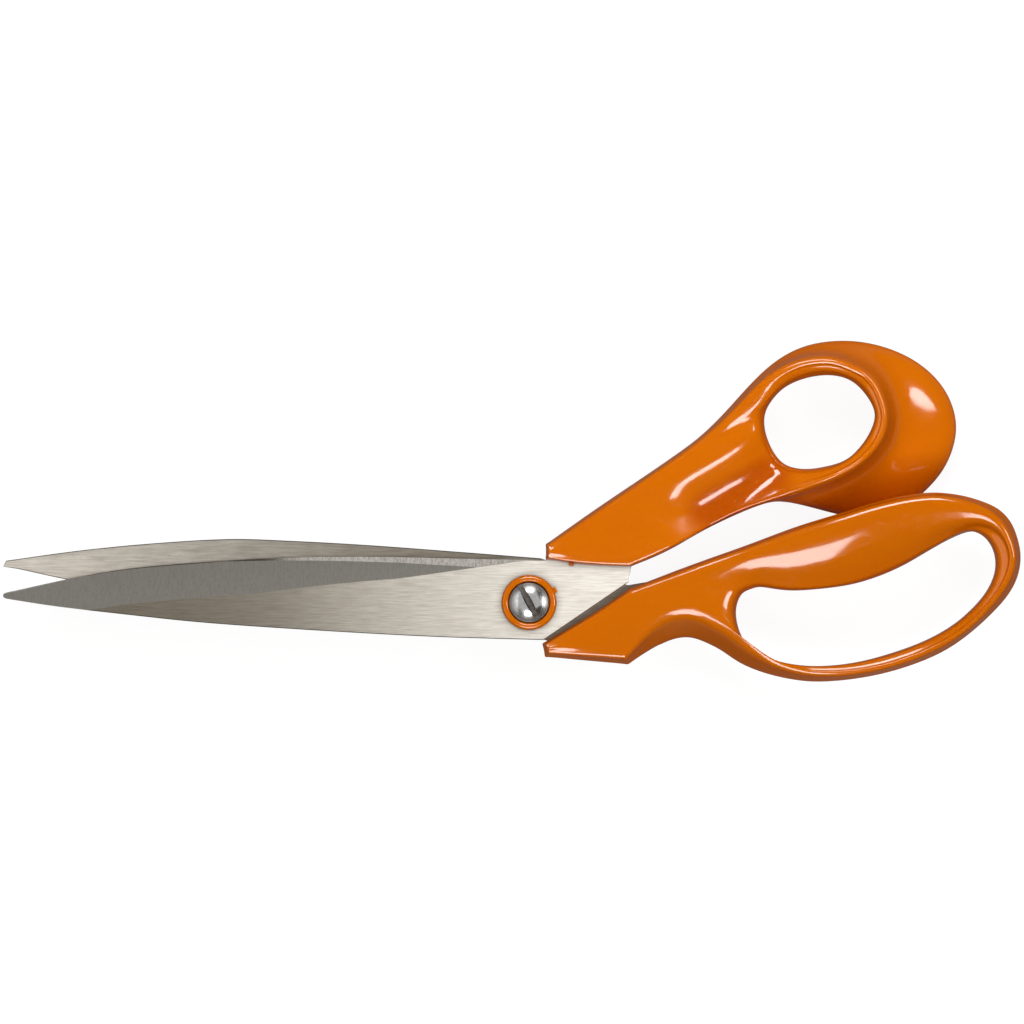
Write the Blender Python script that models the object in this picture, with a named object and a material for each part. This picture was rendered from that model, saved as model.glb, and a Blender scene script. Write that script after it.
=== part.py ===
"""Fabric shears, 270 mm long, lying on their rear side with the blades pointing along -X.

The origin is on the pivot axis, in the screw's rear end face. +Z comes out of the front face.
The finger half (back blade, finger handle) stays still; the thumb half (front blade, thumb handle)
turns about the pivot. Lengths in this file are millimetres, heights count from the plane where the two
blades meet, and meshes are built in metres under an empty on the pivot axis in that plane.
"""

import math

import bmesh
import bpy
import numpy as np
from mathutils import Matrix

MM = 0.001

# ---- Driving dimensions ----
BLADE_THICKNESS = 2.8
BLADE_GAP = 0.3  # running gap between the two blades
SLOT_GAP = 0.3  # room between a tang and the plastic moulded round it
EDGE_LAND = 0.2  # steel left at the cutting edge
BLADE_IN = BLADE_GAP / 2  # distance of each blade's inner face from the middle plane
BLADE_OUT = BLADE_IN + BLADE_THICKNESS

SCREW_HEAD_R = 5.35
SCREW_SHANK_R = 3.15
SCREW_THREAD_R = 2.85
SCREW_SLOT_WIDTH = 1.4
SCREW_SLOT_DEPTH = 1.5
SCREW_SLOT_ANGLE = math.radians(-62)
SLEEVE_R = 4.3
FLANGE_R = 7.3
FLANGE_HEIGHT = 2.0
NUT_ACROSS_FLATS = 9.0
NUT_HEIGHT = 2.4
WASHER_THICKNESS = 0.8
PART_GAP = 0.1  # running and assembly clearance of the small turned parts
SCREW_END = -(BLADE_OUT + WASHER_THICKNESS + NUT_HEIGHT + 0.8)  # the screw's rear end face

ORANGE = (0.78, 0.20, 0.006, 1.0)
STEEL = (0.62, 0.60, 0.57, 1.0)
BRIGHT_STEEL = (0.70, 0.71, 0.72, 1.0)


# ---- Materials, meshes and Booleans ----
def material(name, colour, roughness, metallic):
    """A Principled BSDF with one colour."""
    made = bpy.data.materials.get(name) or bpy.data.materials.new(name)
    made.use_nodes = True
    shader = made.node_tree.nodes["Principled BSDF"]
    shader.inputs["Base Color"].default_value = colour
    shader.inputs["Roughness"].default_value = roughness
    shader.inputs["Metallic"].default_value = metallic
    made.diffuse_color = colour
    return made


def plastic():
    return material("orange_plastic", ORANGE, 0.22, 0.0)


def blade_steel():
    return material("blade_steel", STEEL, 0.32, 1.0)


def screw_steel():
    return material("screw_steel", BRIGHT_STEEL, 0.15, 1.0)


def add_object(name, mesh, finish=None):
    """Links a mesh as a named object; with no finish it is a hidden cutter."""
    made = bpy.data.objects.new(name, mesh)
    made.parent = bpy.data.objects["pivot"]
    bpy.context.scene.collection.objects.link(made)
    if finish is None:
        made.hide_render = True
        made.display_type = "WIRE"
    else:
        mesh.materials.append(finish)
    return made


def pivot_empty():
    """The empty every piece hangs under: on the pivot axis, in the plane where the blades meet."""
    empty = bpy.data.objects.new("pivot", None)
    empty.location = (0.0, 0.0, -SCREW_END * MM)
    bpy.context.scene.collection.objects.link(empty)


def mesh_from(name, build):
    """A mesh filled by build(bm), with its faces turned outwards."""
    bm = bmesh.new()
    build(bm)
    bmesh.ops.recalc_face_normals(bm, faces=bm.faces)
    mesh = bpy.data.meshes.new(name)
    bm.to_mesh(mesh)
    bm.free()
    return mesh


def boolean(target, tool, operation):
    """An exact Boolean that stays on its object."""
    modifier = target.modifiers.new(f"{operation.lower()}_{tool.name}", "BOOLEAN")
    modifier.operation = operation
    modifier.solver = "EXACT"
    modifier.object = tool


def shade_smooth(made, sharp_degrees):
    made.data.shade_smooth()
    made.data.set_sharp_from_angle(angle=math.radians(sharp_degrees))


def plate(bm, outline, bottom, top):
    """A flat plate with the given plan outline."""
    low = [bm.verts.new((x * MM, y * MM, bottom * MM)) for x, y in outline]
    face = bm.faces.new(low)
    raised = bmesh.ops.extrude_face_region(bm, geom=[face])["geom"]
    lift = [v for v in raised if isinstance(v, bmesh.types.BMVert)]
    bmesh.ops.translate(bm, verts=lift, vec=(0, 0, (top - bottom) * MM))


def rod(bm, radius, bottom, top, centre=(0.0, 0.0), sides=64):
    """An upright cylinder."""
    height = (top - bottom) * MM
    place = Matrix.Translation((centre[0] * MM, centre[1] * MM, bottom * MM + height / 2))
    bmesh.ops.create_cone(
        bm,
        cap_ends=True,
        segments=sides,
        radius1=radius * MM,
        radius2=radius * MM,
        depth=height,
        matrix=place,
    )


def box(bm, size, centre, turn=0.0):
    """A box turned about its own upright axis."""
    place = Matrix.Translation([c * MM for c in centre]) @ Matrix.Rotation(turn, 4, "Z")
    place = place @ Matrix.Diagonal((size[0] * MM, size[1] * MM, size[2] * MM, 1.0))
    bmesh.ops.create_cube(bm, size=1.0, matrix=place)


def turned(bm, profile, sides=64):
    """A ring or shaft turned about the pivot axis from a closed (radius, height) profile."""
    verts = [bm.verts.new((r * MM, 0, z * MM)) for r, z in profile]
    edges = [bm.edges.new((verts[i], verts[(i + 1) % len(verts)])) for i in range(len(verts))]
    bmesh.ops.spin(
        bm,
        geom=verts + edges,
        axis=(0, 0, 1),
        cent=(0, 0, 0),
        angle=math.tau,
        steps=sides,
        use_merge=True,
    )
    bmesh.ops.remove_doubles(bm, verts=bm.verts, dist=1e-7)


def arc(centre, radius, start, end, steps):
    """Points of a circular arc, angles in degrees."""
    angles = np.radians(np.linspace(start, end, steps + 1))
    return [(centre[0] + radius * math.cos(a), centre[1] + radius * math.sin(a)) for a in angles]


# ---- Smooth curves through a few points ----
def spline(points, closed=False, per_span=16):
    """A centripetal Catmull-Rom curve through the points."""
    p = np.array(points, float)
    if closed:
        p = np.vstack([p[-1], p, p[0], p[1]])
    else:
        p = np.vstack([2 * p[0] - p[1], p, 2 * p[-1] - p[-2]])
    curve = []
    for a, b, c, d in zip(p, p[1:], p[2:], p[3:]):
        chords = [max(np.linalg.norm(v - u), 1e-6) ** 0.5 for u, v in ((a, b), (b, c), (c, d))]
        knots = np.cumsum([0.0] + chords)
        t = np.linspace(knots[1], knots[2], per_span, endpoint=False)[:, None]
        ab = ((knots[1] - t) * a + (t - knots[0]) * b) / (knots[1] - knots[0])
        bc = ((knots[2] - t) * b + (t - knots[1]) * c) / (knots[2] - knots[1])
        cd = ((knots[3] - t) * c + (t - knots[2]) * d) / (knots[3] - knots[2])
        abc = ((knots[2] - t) * ab + (t - knots[0]) * bc) / (knots[2] - knots[0])
        bcd = ((knots[3] - t) * bc + (t - knots[1]) * cd) / (knots[3] - knots[1])
        curve.append(((knots[2] - t) * abc + (t - knots[1]) * bcd) / (knots[2] - knots[1]))
    if not closed:
        curve.append(p[-2][None])
    return np.vstack(curve)


def at_fractions(curve, fractions):
    """Points at the given shares of a curve's length."""
    steps = np.linalg.norm(np.diff(curve, axis=0), axis=1)
    length = np.concatenate([[0.0], np.cumsum(steps)])
    where = np.array(fractions) * length[-1]
    return np.column_stack([np.interp(where, length, curve[:, k]) for k in range(curve.shape[1])])


def span_curves(spans, corners):
    """One dense curve per span of a closed outline, smooth except at the corner spans' first points."""
    count = len(spans)
    if not corners:
        points = [p for span in spans for p in span]
        starts = np.cumsum([0] + [len(span) for span in spans]) * 16
        dense = spline(points, closed=True)
        dense = np.vstack([dense, dense[:1]])
        return [dense[starts[i] : starts[i + 1] + 1] for i in range(count)]
    curves = [None] * count
    for corner in corners:
        run = [corner]
        while (run[-1] + 1) % count not in corners:
            run.append((run[-1] + 1) % count)
        points = [p for i in run for p in spans[i]] + [spans[(run[-1] + 1) % count][0]]
        dense = spline(points)
        start = 0
        for i in run:
            end = start + 16 * len(spans[i])
            curves[i] = dense[start : end + 1]
            start = end
    return curves


def periodic(values, where):
    """Smooth periodic interpolation of one value per tie, at fractional tie numbers."""
    v = np.array(values, float)
    i = np.floor(where).astype(int)
    t = where - i
    a, b, c, d = (v[(i + k) % len(v)] for k in (-1, 0, 1, 2))
    return b + 0.5 * t * (c - a + t * (2 * a - 5 * b + 4 * c - d + t * (3 * (b - c) + d - a)))


# ---- Blades ----
FRONT_SPINE = [(3.9, -9.95), (-25, -9.1), (-63, -7.0), (-88, -5.2), (-107, -3.2)]
FRONT_SPINE += [(-126.5, -0.9), (-138.8, 1.0)]
FRONT_TIP = [(-139.5, 1.35), (-139.7, 1.9), (-139.4, 2.4)]
FRONT_EDGE = [(-138.9, 2.65), (-120, 6.7), (-106.6, 8.9), (-86.3, 10.7), (-66, 11.8)]
FRONT_EDGE += [(-45, 12.15), (-11.3, 11.5), (4.4, 11.3)]
FRONT_TANG = [(9, 14), (43, 38), (49, 39.5), (53.5, 35.5), (52, 31)]
FRONT_TANG += [(38, 20.5), (28.5, 12.5), (27.1, 9.3), (26.4, 5.4)]

BACK_SPINE = [(3.0, 11.75), (-18, 13.4), (-43.7, 15.3), (-63, 16.35), (-79, 16.85)]
BACK_SPINE += [(-101, 15.6), (-120, 13.7), (-138.8, 11.1)]
BACK_TIP = [(-139.6, 9.5)]
BACK_EDGE = [(-136, 9.0), (-122.4, 6.05), (-107, 3.4), (-88, 0.7), (-63, -2.6)]
BACK_EDGE += [(-44, -4.9), (-25, -7.0), (3.5, -9.7)]
BACK_TANG = [(9, -11.5), (28, -10.5), (36, -3), (47, -4.5)]
BACK_TANG += [(50.5, -1), (50, 6.2), (46, 8), (26.3, 4.6)]

# Widths of the ground faces, measured inwards from the cutting edge, against the place along the blade.
BEVEL_WIDTH = [(-141, 9.3), (-90, 9.4), (-72.7, 9.2), (-34, 5.6), (-14, 2.25), (-1, 0.2), (4.4, 0.1)]
HONED_WIDTH = [(-141, 0.2), (-80, 0.25), (-45, 1.25), (-34, 1.45), (-14, 2.15), (-1, 0.1), (4.4, 0.05)]
BEVEL_SLOPE = math.tan(math.radians(15))
HONED_SLOPE = math.tan(math.radians(40))
FRONT_ANCHORS = [(28, 22.5), (43, 32.5)]
BACK_ANCHORS = [(28, -4), (44, 2)]
ANCHOR_R = 2.6


def blade_outline(spine, tip, edge, tang):
    """The closed plan outline: along the spine to the tip, back along the edge and round the tang."""
    back = [tuple(p) for p in spline(spine, per_span=4)]
    cutting = [tuple(p) for p in spline(edge, per_span=4)]
    return back + tip + cutting + tang


def grow(outline, distance):
    """The outline moved outwards, each corner along the bisector of its two sides."""
    p = np.array(outline, float)
    before = p - np.roll(p, 1, axis=0)
    after = np.roll(p, -1, axis=0) - p
    before /= np.linalg.norm(before, axis=1)[:, None]
    after /= np.linalg.norm(after, axis=1)[:, None]
    x, y = p.T
    clockwise = np.sum(x * np.roll(y, -1) - y * np.roll(x, -1)) < 0
    side = -1.0 if clockwise else 1.0
    out_before = side * np.column_stack([before[:, 1], -before[:, 0]])
    out_after = side * np.column_stack([after[:, 1], -after[:, 0]])
    middle = out_before + out_after
    scale = 2 * distance / np.sum(middle**2, axis=1)
    return p + middle * np.minimum(scale, 1.5 * distance)[:, None]


def grinding_cutter(name, edge, side):
    """The space that grinding takes off one blade's outer face; side is +1 for the front blade."""
    curve = spline(edge, per_span=3)
    first, last = curve[0], curve[-1]
    if first[0] < last[0]:
        lead = first + (first - curve[1]) * 3 / np.linalg.norm(first - curve[1])
        curve = np.vstack([lead, curve])
    sections = []
    for x, y in curve:
        bevel = np.interp(x, *zip(*BEVEL_WIDTH))
        honed = np.interp(x, *zip(*HONED_WIDTH))
        honed_top = BLADE_OUT - (bevel - honed) * BEVEL_SLOPE
        land = max(BLADE_IN + EDGE_LAND, honed_top - honed * HONED_SLOPE)
        profile = [
            (bevel + 2, BLADE_OUT + 2 * BEVEL_SLOPE),
            (honed, honed_top),
            (0.0, land),
            (-4.0, land),
            (-4.0, BLADE_OUT + 3),
            (bevel + 2, BLADE_OUT + 3),
        ]
        sections.append([(x, y - side * inwards, side * z) for inwards, z in profile])

    def build(bm):
        rings = [[bm.verts.new([c * MM for c in point]) for point in section] for section in sections]
        for low, high in zip(rings, rings[1:]):
            for k in range(len(low)):
                n = (k + 1) % len(low)
                bm.faces.new((low[k], low[n], high[n], high[k]))
        bm.faces.new(rings[0])
        bm.faces.new(rings[-1])

    return add_object(name, mesh_from(name, build))


def blade(name, outline, edge, side, pivot_hole, anchors):
    """A flat ground blade with its tang, its pivot hole and the holes that key it in the plastic."""
    low, high = sorted((side * BLADE_IN, side * BLADE_OUT))
    made = add_object(name, mesh_from(name, lambda bm: plate(bm, outline, low, high)), blade_steel())
    boolean(made, grinding_cutter(f"{name}_grinding", edge, side), "DIFFERENCE")

    def holes(bm):
        rod(bm, pivot_hole, low - 1, high + 1)
        for centre in anchors:
            rod(bm, ANCHOR_R, low - 1, high + 1, centre, sides=24)

    boolean(made, add_object(f"{name}_holes", mesh_from(f"{name}_holes", holes)), "DIFFERENCE")
    return made


def tang_cavity(name, outline, side, anchors):
    """The room a handle leaves for its tang, a little larger, with posts through the anchor holes."""
    low, high = sorted((side * (BLADE_IN - SLOT_GAP), side * (BLADE_OUT + SLOT_GAP)))
    space = mesh_from(name, lambda bm: plate(bm, grow(outline, SLOT_GAP), low, high))
    room = add_object(name, space)

    def posts(bm):
        for centre in anchors:
            rod(bm, ANCHOR_R - SLOT_GAP, low - 1, high + 1, centre, sides=24)

    boolean(room, add_object(f"{name}_posts", mesh_from(f"{name}_posts", posts)), "DIFFERENCE")
    return room


# ---- Handles ----
# A handle is a smooth ring round its finger hole with a flat arm that holds the blade's tang.
# Two closed plan outlines, the edge of the front face and the widest one, run clockwise: round the ring
# from the arm's upper root to its lower root, along the arm's lower side to its end, and back along its
# upper side. Each is a list of spans, and every span starts at a tie; the values below the outlines stand
# at the ties.
# The hole has the ring's ties and one more, in the middle of the arm's root.
THUMB = {
    "ring_ties": 7,
    "corners": [7, 8, 9],
    "hole": [
        [(62.7, 50.2)],
        [(68.0, 57.2)],
        [(78.3, 60.5), (86.1, 58.6)],
        [(91.7, 50.8), (90.5, 45.2)],
        [(84.9, 38.4), (79, 36.2)],
        [(72.3, 35.5)],
        [(67.2, 37.2)],
        [(63.4, 43.2)],
    ],
    "front": [
        [(44.5, 42.3), (53, 49.7)],
        [(61.9, 59.0), (70, 63.7)],
        [(79, 65.0), (86.5, 62.6), (91.3, 59.2)],
        [(94.8, 50.5), (94.0, 44.8), (91, 40)],
        [(86, 35.7), (80, 32.6), (73.5, 30.2)],
        [(65.5, 27.5)],
        [(56.5, 24.5), (45.4, 19.0), (36, 13.8)],
        [(26.6, 9.8), (14, 10.5)],
        [(5.0, 11.9)],
        [(5.0, 15.1)],
        [(17.2, 23.4)],
    ],
    "widest": [
        [(44.9, 43.7), (52, 50.5)],
        [(60.5, 59.7), (70, 66.8)],
        [(81, 69.4), (92, 68.4), (102.5, 64.0), (110, 56.8)],
        [(113.2, 47.5), (111.3, 38.2), (106.3, 31), (99, 25.3)],
        [(90, 22.5), (82, 23.5), (73, 25.8)],
        [(65.5, 26.8)],
        [(56.6, 24.0), (45.6, 18.7), (36.2, 13.4)],
        [(26.9, 9.5), (14, 10.1)],
        [(4.5, 11.5)],
        [(4.5, 15.5)],
        [(16.7, 24.1)],
    ],
    "steps": [3, 3, 6, 6, 4, 2],
    "arm_steps": [5, 3],
    "front_z": [7.8, 8.6, 9.0, 8.2, 8.6, 8.4, 8.0, 7.0, 7.0, 7.0, 7.2],
    "widest_z": [-0.5, -2.5, -6.0, -9.5, -9.0, -2.0, 0.0, 2.0, 3.0, 2.5, 1.5],
    "rear_z": [-6.0, -10.0, -14.0, -17.0, -16.5, -12.0, -8.0, -4.6, -4.5, -4.5, -4.6],
    "edge": [1.4, 1.4, 1.2, 1.0, 1.0, 1.0, 1.0, 0.7, 0.5, 0.7, 1.1],
    "valley": [0.35, 0.35, 0.33, 0.17, 0.22, 0.4, 0.35, 0.35, 0.35, 0.35, 0.35],
    "valley_z": [0.6, 0.5, 0.5, 0.42, 0.45, 0.6, 0.65, 0.65, 0.65, 0.65, 0.65],
    "flare": [0.7, 0.7, 0.66, 0.6, 0.6, 0.7, 0.7, 0.7, 0.7, 0.7, 0.7],
    "flare_z": [0.28, 0.24, 0.24, 0.24, 0.24, 0.3, 0.33, 0.33, 0.33, 0.33, 0.33],
    "rear_inset": [3.0, 3.5, 4.0, 5.0, 5.0, 4.0, 3.0, 2.0, 1.2, 1.2, 2.0],
    "neck_z": [3.0, 4.0, 5.0, 4.0, 2.5, 0.5, -1.0, 0.0],
    "lip": [5.0, 3.0, 2.8, 2.4, 3.0, 5.0, 9.0, 9.0],
    "fall": [0.4, 0.3, 0.4, 0.4, 0.8, 2.2, 3.4, 2.4],
    "mouth": [4.0, 4.0, 5.0, 7.0, 7.0, 6.0, 5.0, 4.0],
    "scoop": [0.0, 2.2, 1.7, 0.5, 0.0],
}
FINGER = {
    "ring_ties": 9,
    "corners": [10, 11, 12, 14],
    "hole": [
        [(56.4, 2.1)],
        [(61.3, 4.1), (68, 3.2)],
        [(79, 3.8), (88, 5.4)],
        [(98, 9.2), (109.2, 15.5), (116.3, 19.0), (121.6, 16.7)],
        [(123.8, 9.8), (121.4, 3.0)],
        [(113.5, -5.2), (105.5, -9.9)],
        [(95.6, -13.6), (86, -16)],
        [(76, -16.9), (67, -15.8), (60.7, -13.3)],
        [(57.0, -9.8)],
        [(54.95, -3.2)],
    ],
    "front": [
        [(42.3, 8.8)],
        [(58.6, 14.6), (71.3, 19.2)],
        [(84.3, 23.2), (94.3, 26.2)],
        [(106, 28.2), (116.9, 26.8), (125.3, 22.0)],
        [(129.3, 11.5), (127, 4.6)],
        [(117.4, -6.5), (108.5, -12.4)],
        [(96, -17.2), (86, -19.1)],
        [(75.6, -19.4), (66, -17.2), (58.5, -12.8)],
        [(52.5, -8.0), (41, -3.4)],
        [(33.5, -6.8)],
        [(25.6, -14.9)],
        [(5.2, -13.4)],
        [(4.5, -11.2)],
        [(18.4, -2.7)],
        [(26.9, 3.1)],
    ],
    "widest": [
        [(42.1, 9.6)],
        [(58.3, 15.4), (71.0, 20.1)],
        [(84, 24.1), (94, 27.1)],
        [(106, 29.1), (117.6, 27.7), (126.7, 23.0)],
        [(130.5, 12.2), (128.3, 3.8)],
        [(118, -7.4), (109.2, -13.4)],
        [(96.5, -18.2), (86, -20.3)],
        [(75.5, -21.0), (65, -19.4), (56.5, -16.3)],
        [(51, -12.7), (42, -9.2)],
        [(34.5, -11.3)],
        [(26.3, -16.4)],
        [(4.3, -14.4)],
        [(3.6, -10.9)],
        [(18.0, -2.2)],
        [(26.7, 3.7)],
    ],
    "steps": [3, 4, 3, 7, 4, 3, 3, 5],
    "arm_steps": [4, 2, 3],
    "front_z": [7.2, 7.6, 9.9, 9.5, 8.0, 6.2, 5.8, 6.4, 7.4, 7.2, 6.8, 6.6, 6.6, 6.7, 6.9],
    "widest_z": [2.5, 3.0, 5.0, 5.0, 1.0, -2.0, -2.0, -2.0, -3.0, -2.5, 0.0, 1.5, 2.0, 2.5, 2.5],
    "rear_z": [-5.5, -6.5, -7.0, -7.5, -8.5, -9.0, -9.0, -9.0, -8.0, -6.5, -5.2, -4.8, -4.5, -4.5, -4.7],
    "edge": [1.4, 1.4, 1.6, 1.6, 1.2, 1.0, 1.0, 1.2, 1.7, 1.8, 1.0, 0.7, 0.6, 0.8, 1.1],
    "valley": [0.35] * 7 + [0.3, 0.3, 0.3] + [0.35] * 5,
    "valley_z": [0.65] * 7 + [0.75, 0.8, 0.75] + [0.65] * 5,
    "flare": [0.7] * 15,
    "flare_z": [0.33] * 7 + [0.4, 0.42, 0.4] + [0.33] * 5,
    "rear_inset": [3.0, 4.0, 8.0, 9.0, 3.0, 2.0, 2.0, 2.5, 3.0, 2.5, 1.6, 1.2, 1.2, 1.8, 2.2],
    "neck_z": [1.5, 1.0, 1.0, 1.0, -2.0, -3.0, -3.0, -2.0, 0.0, 1.0],
    "lip": [3.0, 2.0, 1.4, 2.6, 4.2, 3.4, 3.0, 2.6, 2.6, 3.0],
    "fall": [1.0, 2.2, 4.7, 4.4, 0.8, 0.4, 0.3, 0.2, 0.3, 0.5],
    "mouth": [3.0, 2.0, 2.0, 2.0, 2.0, 1.6, 1.6, 1.8, 2.5, 3.0],
    "scoop": [0.0] * 5,
}
SWING_RELIEF_SIZE = (8.0, 14.0, 8.0)  # lets the back blade's spine swing past the thumb handle
SWING_RELIEF_AT = (4.6, 14.0, -4.0 + BLADE_IN)
NUB_SIZE = (1.3, 2.0, 1.6)  # small stub on the thumb handle's lower side, over the blade's heel
NUB_AT = (11.3, 10.7, BLADE_OUT + SLOT_GAP + 0.8)
NUB_TURN = math.radians(-7)
CRISP = 0.8  # distance of the extra sections that keep a plan corner tight
ACROSS = 4  # faces across an arm
ROWS = 15  # points round a section
SCOOP_FADE = 0.45  # share of the scoop's depth left at each next section along the arm
CROWN = 0.25  # rise of an arm's front face between its edges


def ring_places(shape):
    places = [i + k / steps for i, steps in enumerate(shape["steps"]) for k in range(steps)]
    return np.array(places + [shape["ring_ties"] - 1.0])


def arm_places(shape):
    """Places along the arm's lower side after its root, counted in ties, with more beside each corner."""
    total = len(shape["widest"])
    root = shape["ring_ties"] - 1
    curves = span_curves(shape["widest"], shape["corners"])
    ties = range(len(shape["arm_steps"]) + 1)
    corner = [root + j in shape["corners"] or total - j in shape["corners"] for j in ties]
    places = []
    for j, steps in enumerate(shape["arm_steps"]):
        near = CRISP / np.linalg.norm(np.diff(curves[root + j], axis=0), axis=1).sum()
        inner = [k / steps for k in range(1, steps)]
        inner = ([near] if corner[j] else []) + inner + ([1 - near] if corner[j + 1] else [])
        places += [j + f for f in inner + [1.0]]
    return np.array(places)


def outline_points(curves, places):
    return np.vstack([at_fractions(curves[int(p)], [p - int(p)]) for p in places])


def inward(outline):
    """Unit directions into a clockwise closed outline, at each of its points."""
    along = np.roll(outline, -1, axis=0) - outline
    along /= np.linalg.norm(along, axis=1, keepdims=True)
    along += np.roll(along, 1, axis=0)
    along /= np.linalg.norm(along, axis=1, keepdims=True)
    return np.column_stack([along[:, 1], -along[:, 0]])


def side_rows(shape, places):
    """Rows 5 to 11 of the sections: from the front face's edge, round the side, to the rear face."""
    front = outline_points(span_curves(shape["front"], shape["corners"]), places)
    widest = outline_points(span_curves(shape["widest"], shape["corners"]), places)
    names = ("front_z", "widest_z", "rear_z", "edge", "rear_inset")
    top, side, rear, edge, inset = (periodic(shape[n], places)[:, None] for n in names)
    names = ("valley", "valley_z", "flare", "flare_z")
    valley, valley_z, flare, flare_z = (periodic(shape[n], places)[:, None] for n in names)
    front_in, widest_in = inward(front), inward(widest)
    return {
        5: np.hstack([front + front_in * edge, top]),
        6: np.hstack([front, top - 0.3 * edge]),
        7: np.hstack([front + (widest - front) * valley, side + (top - side) * valley_z]),
        8: np.hstack([front + (widest - front) * flare, side + (top - side) * flare_z]),
        9: np.hstack([widest, side]),
        10: np.hstack([widest + widest_in * 0.35 * inset, rear + 0.3 * (side - rear)]),
        11: np.hstack([widest + widest_in * inset, rear]),
    }


def hole_rows(shape, places, crest, rear_edge):
    """Rows 12 to 14 and 0 to 4: in from the rear face, up through the hole and over the lip."""
    hole = outline_points(span_curves(shape["hole"], []), places)
    names = ("neck_z", "lip", "fall", "mouth")
    neck, lip, fall, mouth = (periodic(shape[n], places)[:, None] for n in names)
    out, rear_out = crest[:, :2] - hole, rear_edge[:, :2] - hole
    width = np.linalg.norm(out, axis=1, keepdims=True)
    rear_width = np.linalg.norm(rear_out, axis=1, keepdims=True)
    out, rear_out = out / width, rear_out / rear_width
    lip, mouth = np.minimum(lip, 0.8 * width), np.minimum(mouth, 0.6 * rear_width)
    top, rear = crest[:, 2:] - fall, rear_edge[:, 2:]
    wall = np.minimum(lip, 3.0)
    rows = {
        13: np.hstack([hole + rear_out * mouth, rear]),
        14: np.hstack([hole + rear_out * 0.2 * mouth, rear + 0.45 * (neck - rear)]),
        0: np.hstack([hole, neck]),
        1: np.hstack([hole + out * 0.2 * lip, top - np.minimum(0.8 * wall, 0.6 * (top - neck))]),
        2: np.hstack([hole + out * 0.5 * lip, top - 0.25 * wall]),
        3: np.hstack([hole + out * 1.05 * lip, top]),
    }
    rows[12] = (rear_edge + rows[13]) / 2
    rows[4] = (crest + rows[3]) / 2
    rows[4][:, 2:] += 0.28 * fall
    return rows


def between(one, other, share, rise=0.0):
    point = one * (1 - share) + other * share
    point[2] += rise * 4 * share * (1 - share)
    return point


def handle_cage(shape):
    """Corner points and four-sided faces of a handle, with the share of smoothing each point resists."""
    ring = ring_places(shape)
    arm = arm_places(shape)
    total, root = len(shape["widest"]), shape["ring_ties"] - 1
    lower, upper = root + arm, total - arm
    sides = side_rows(shape, np.concatenate([ring, lower, upper[::-1]]))
    last = len(ring) - 1
    lower_at = [last + 1 + j for j in range(len(arm))]
    upper_at = [len(ring) + 2 * len(arm) - 1 - j for j in range(len(arm))]
    across = [c / ACROSS for c in range(1, ACROSS)]
    root_front = [between(sides[5][last], sides[5][0], c, CROWN) for c in across]
    root_rear = [between(sides[11][last], sides[11][0], c) for c in across]
    crest = np.vstack([sides[5][: last + 1]] + root_front)
    crest[last + 1 :, 2] -= shape["scoop"][1:-1]
    rear_edge = np.vstack([sides[11][: last + 1]] + root_rear)
    inner = hole_rows(shape, np.concatenate([ring, [root + 2 * c for c in across]]), crest, rear_edge)
    points, index, faces = [], {}, []

    def put(key, point):
        index[key] = len(points)
        points.append(point)

    for i in range(last + ACROSS):
        for k, row in inner.items():
            put(("ring", i, k), row[i])
        put(("ring", i, 5), crest[i])
        put(("ring", i, 11), rear_edge[i])
    for i in range(last + 1):
        for k in (6, 7, 8, 9, 10):
            put(("ring", i, k), sides[k][i])
    end = len(arm) - 1
    for j in range(len(arm)):
        for k in range(5, 12):
            low, high = sides[k][lower_at[j]], sides[k][upper_at[j]]
            columns = range(ACROSS + 1) if k in (5, 11) or j == end else (0, ACROSS)
            for c in columns:
                point = between(low, high, c / ACROSS, CROWN if k == 5 else 0.0)
                if k == 5:
                    point[2] -= shape["scoop"][c] * SCOOP_FADE ** (j + 1)
                put(("arm", j, k, c), point)

    def ring_point(i, k):
        return index["ring", i % (last + ACROSS), k % ROWS]

    def arm_point(j, k, c):
        return index["arm", j, k, c] if j >= 0 else ring_point(last + c, k)

    def patch(point_at, *keys):
        faces.append(tuple(point_at(*key) for key in keys))

    for i in range(last + ACROSS):
        rows = range(ROWS) if i < last else (11, 12, 13, 14, 0, 1, 2, 3, 4)
        for k in rows:
            patch(ring_point, (i, k), (i + 1, k), (i + 1, k + 1), (i, k + 1))
    for j in range(-1, end):
        for k in (5, 11):
            for c in range(ACROSS):
                patch(arm_point, (j, k, c), (j + 1, k, c), (j + 1, k, c + 1), (j, k, c + 1))
        for c in (0, ACROSS):
            for k in range(5, 11):
                patch(arm_point, (j, k, c), (j + 1, k, c), (j + 1, k + 1, c), (j, k + 1, c))
    for k in range(5, 11):
        for c in range(ACROSS):
            patch(arm_point, (end, k, c), (end, k, c + 1), (end, k + 1, c + 1), (end, k + 1, c))
    firm = np.array([1.0 if key[2] in (0, 9) else 0.6 for key in index])
    return np.array(points), faces, firm


def smoothed(bm, places):
    """Where a smoothed closed surface settles for each corner point."""
    settled = np.empty_like(places)
    for v in bm.verts:
        n = len(v.link_edges)
        near = sum(places[e.other_vert(v).index] for e in v.link_edges)
        around = {e.other_vert(v).index for e in v.link_edges} | {v.index}
        far = sum(places[w.index] for f in v.link_faces for w in f.verts if w.index not in around)
        settled[v.index] = (n * n * places[v.index] + 4 * near + far) / (n * (n + 5))
    return settled


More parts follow.
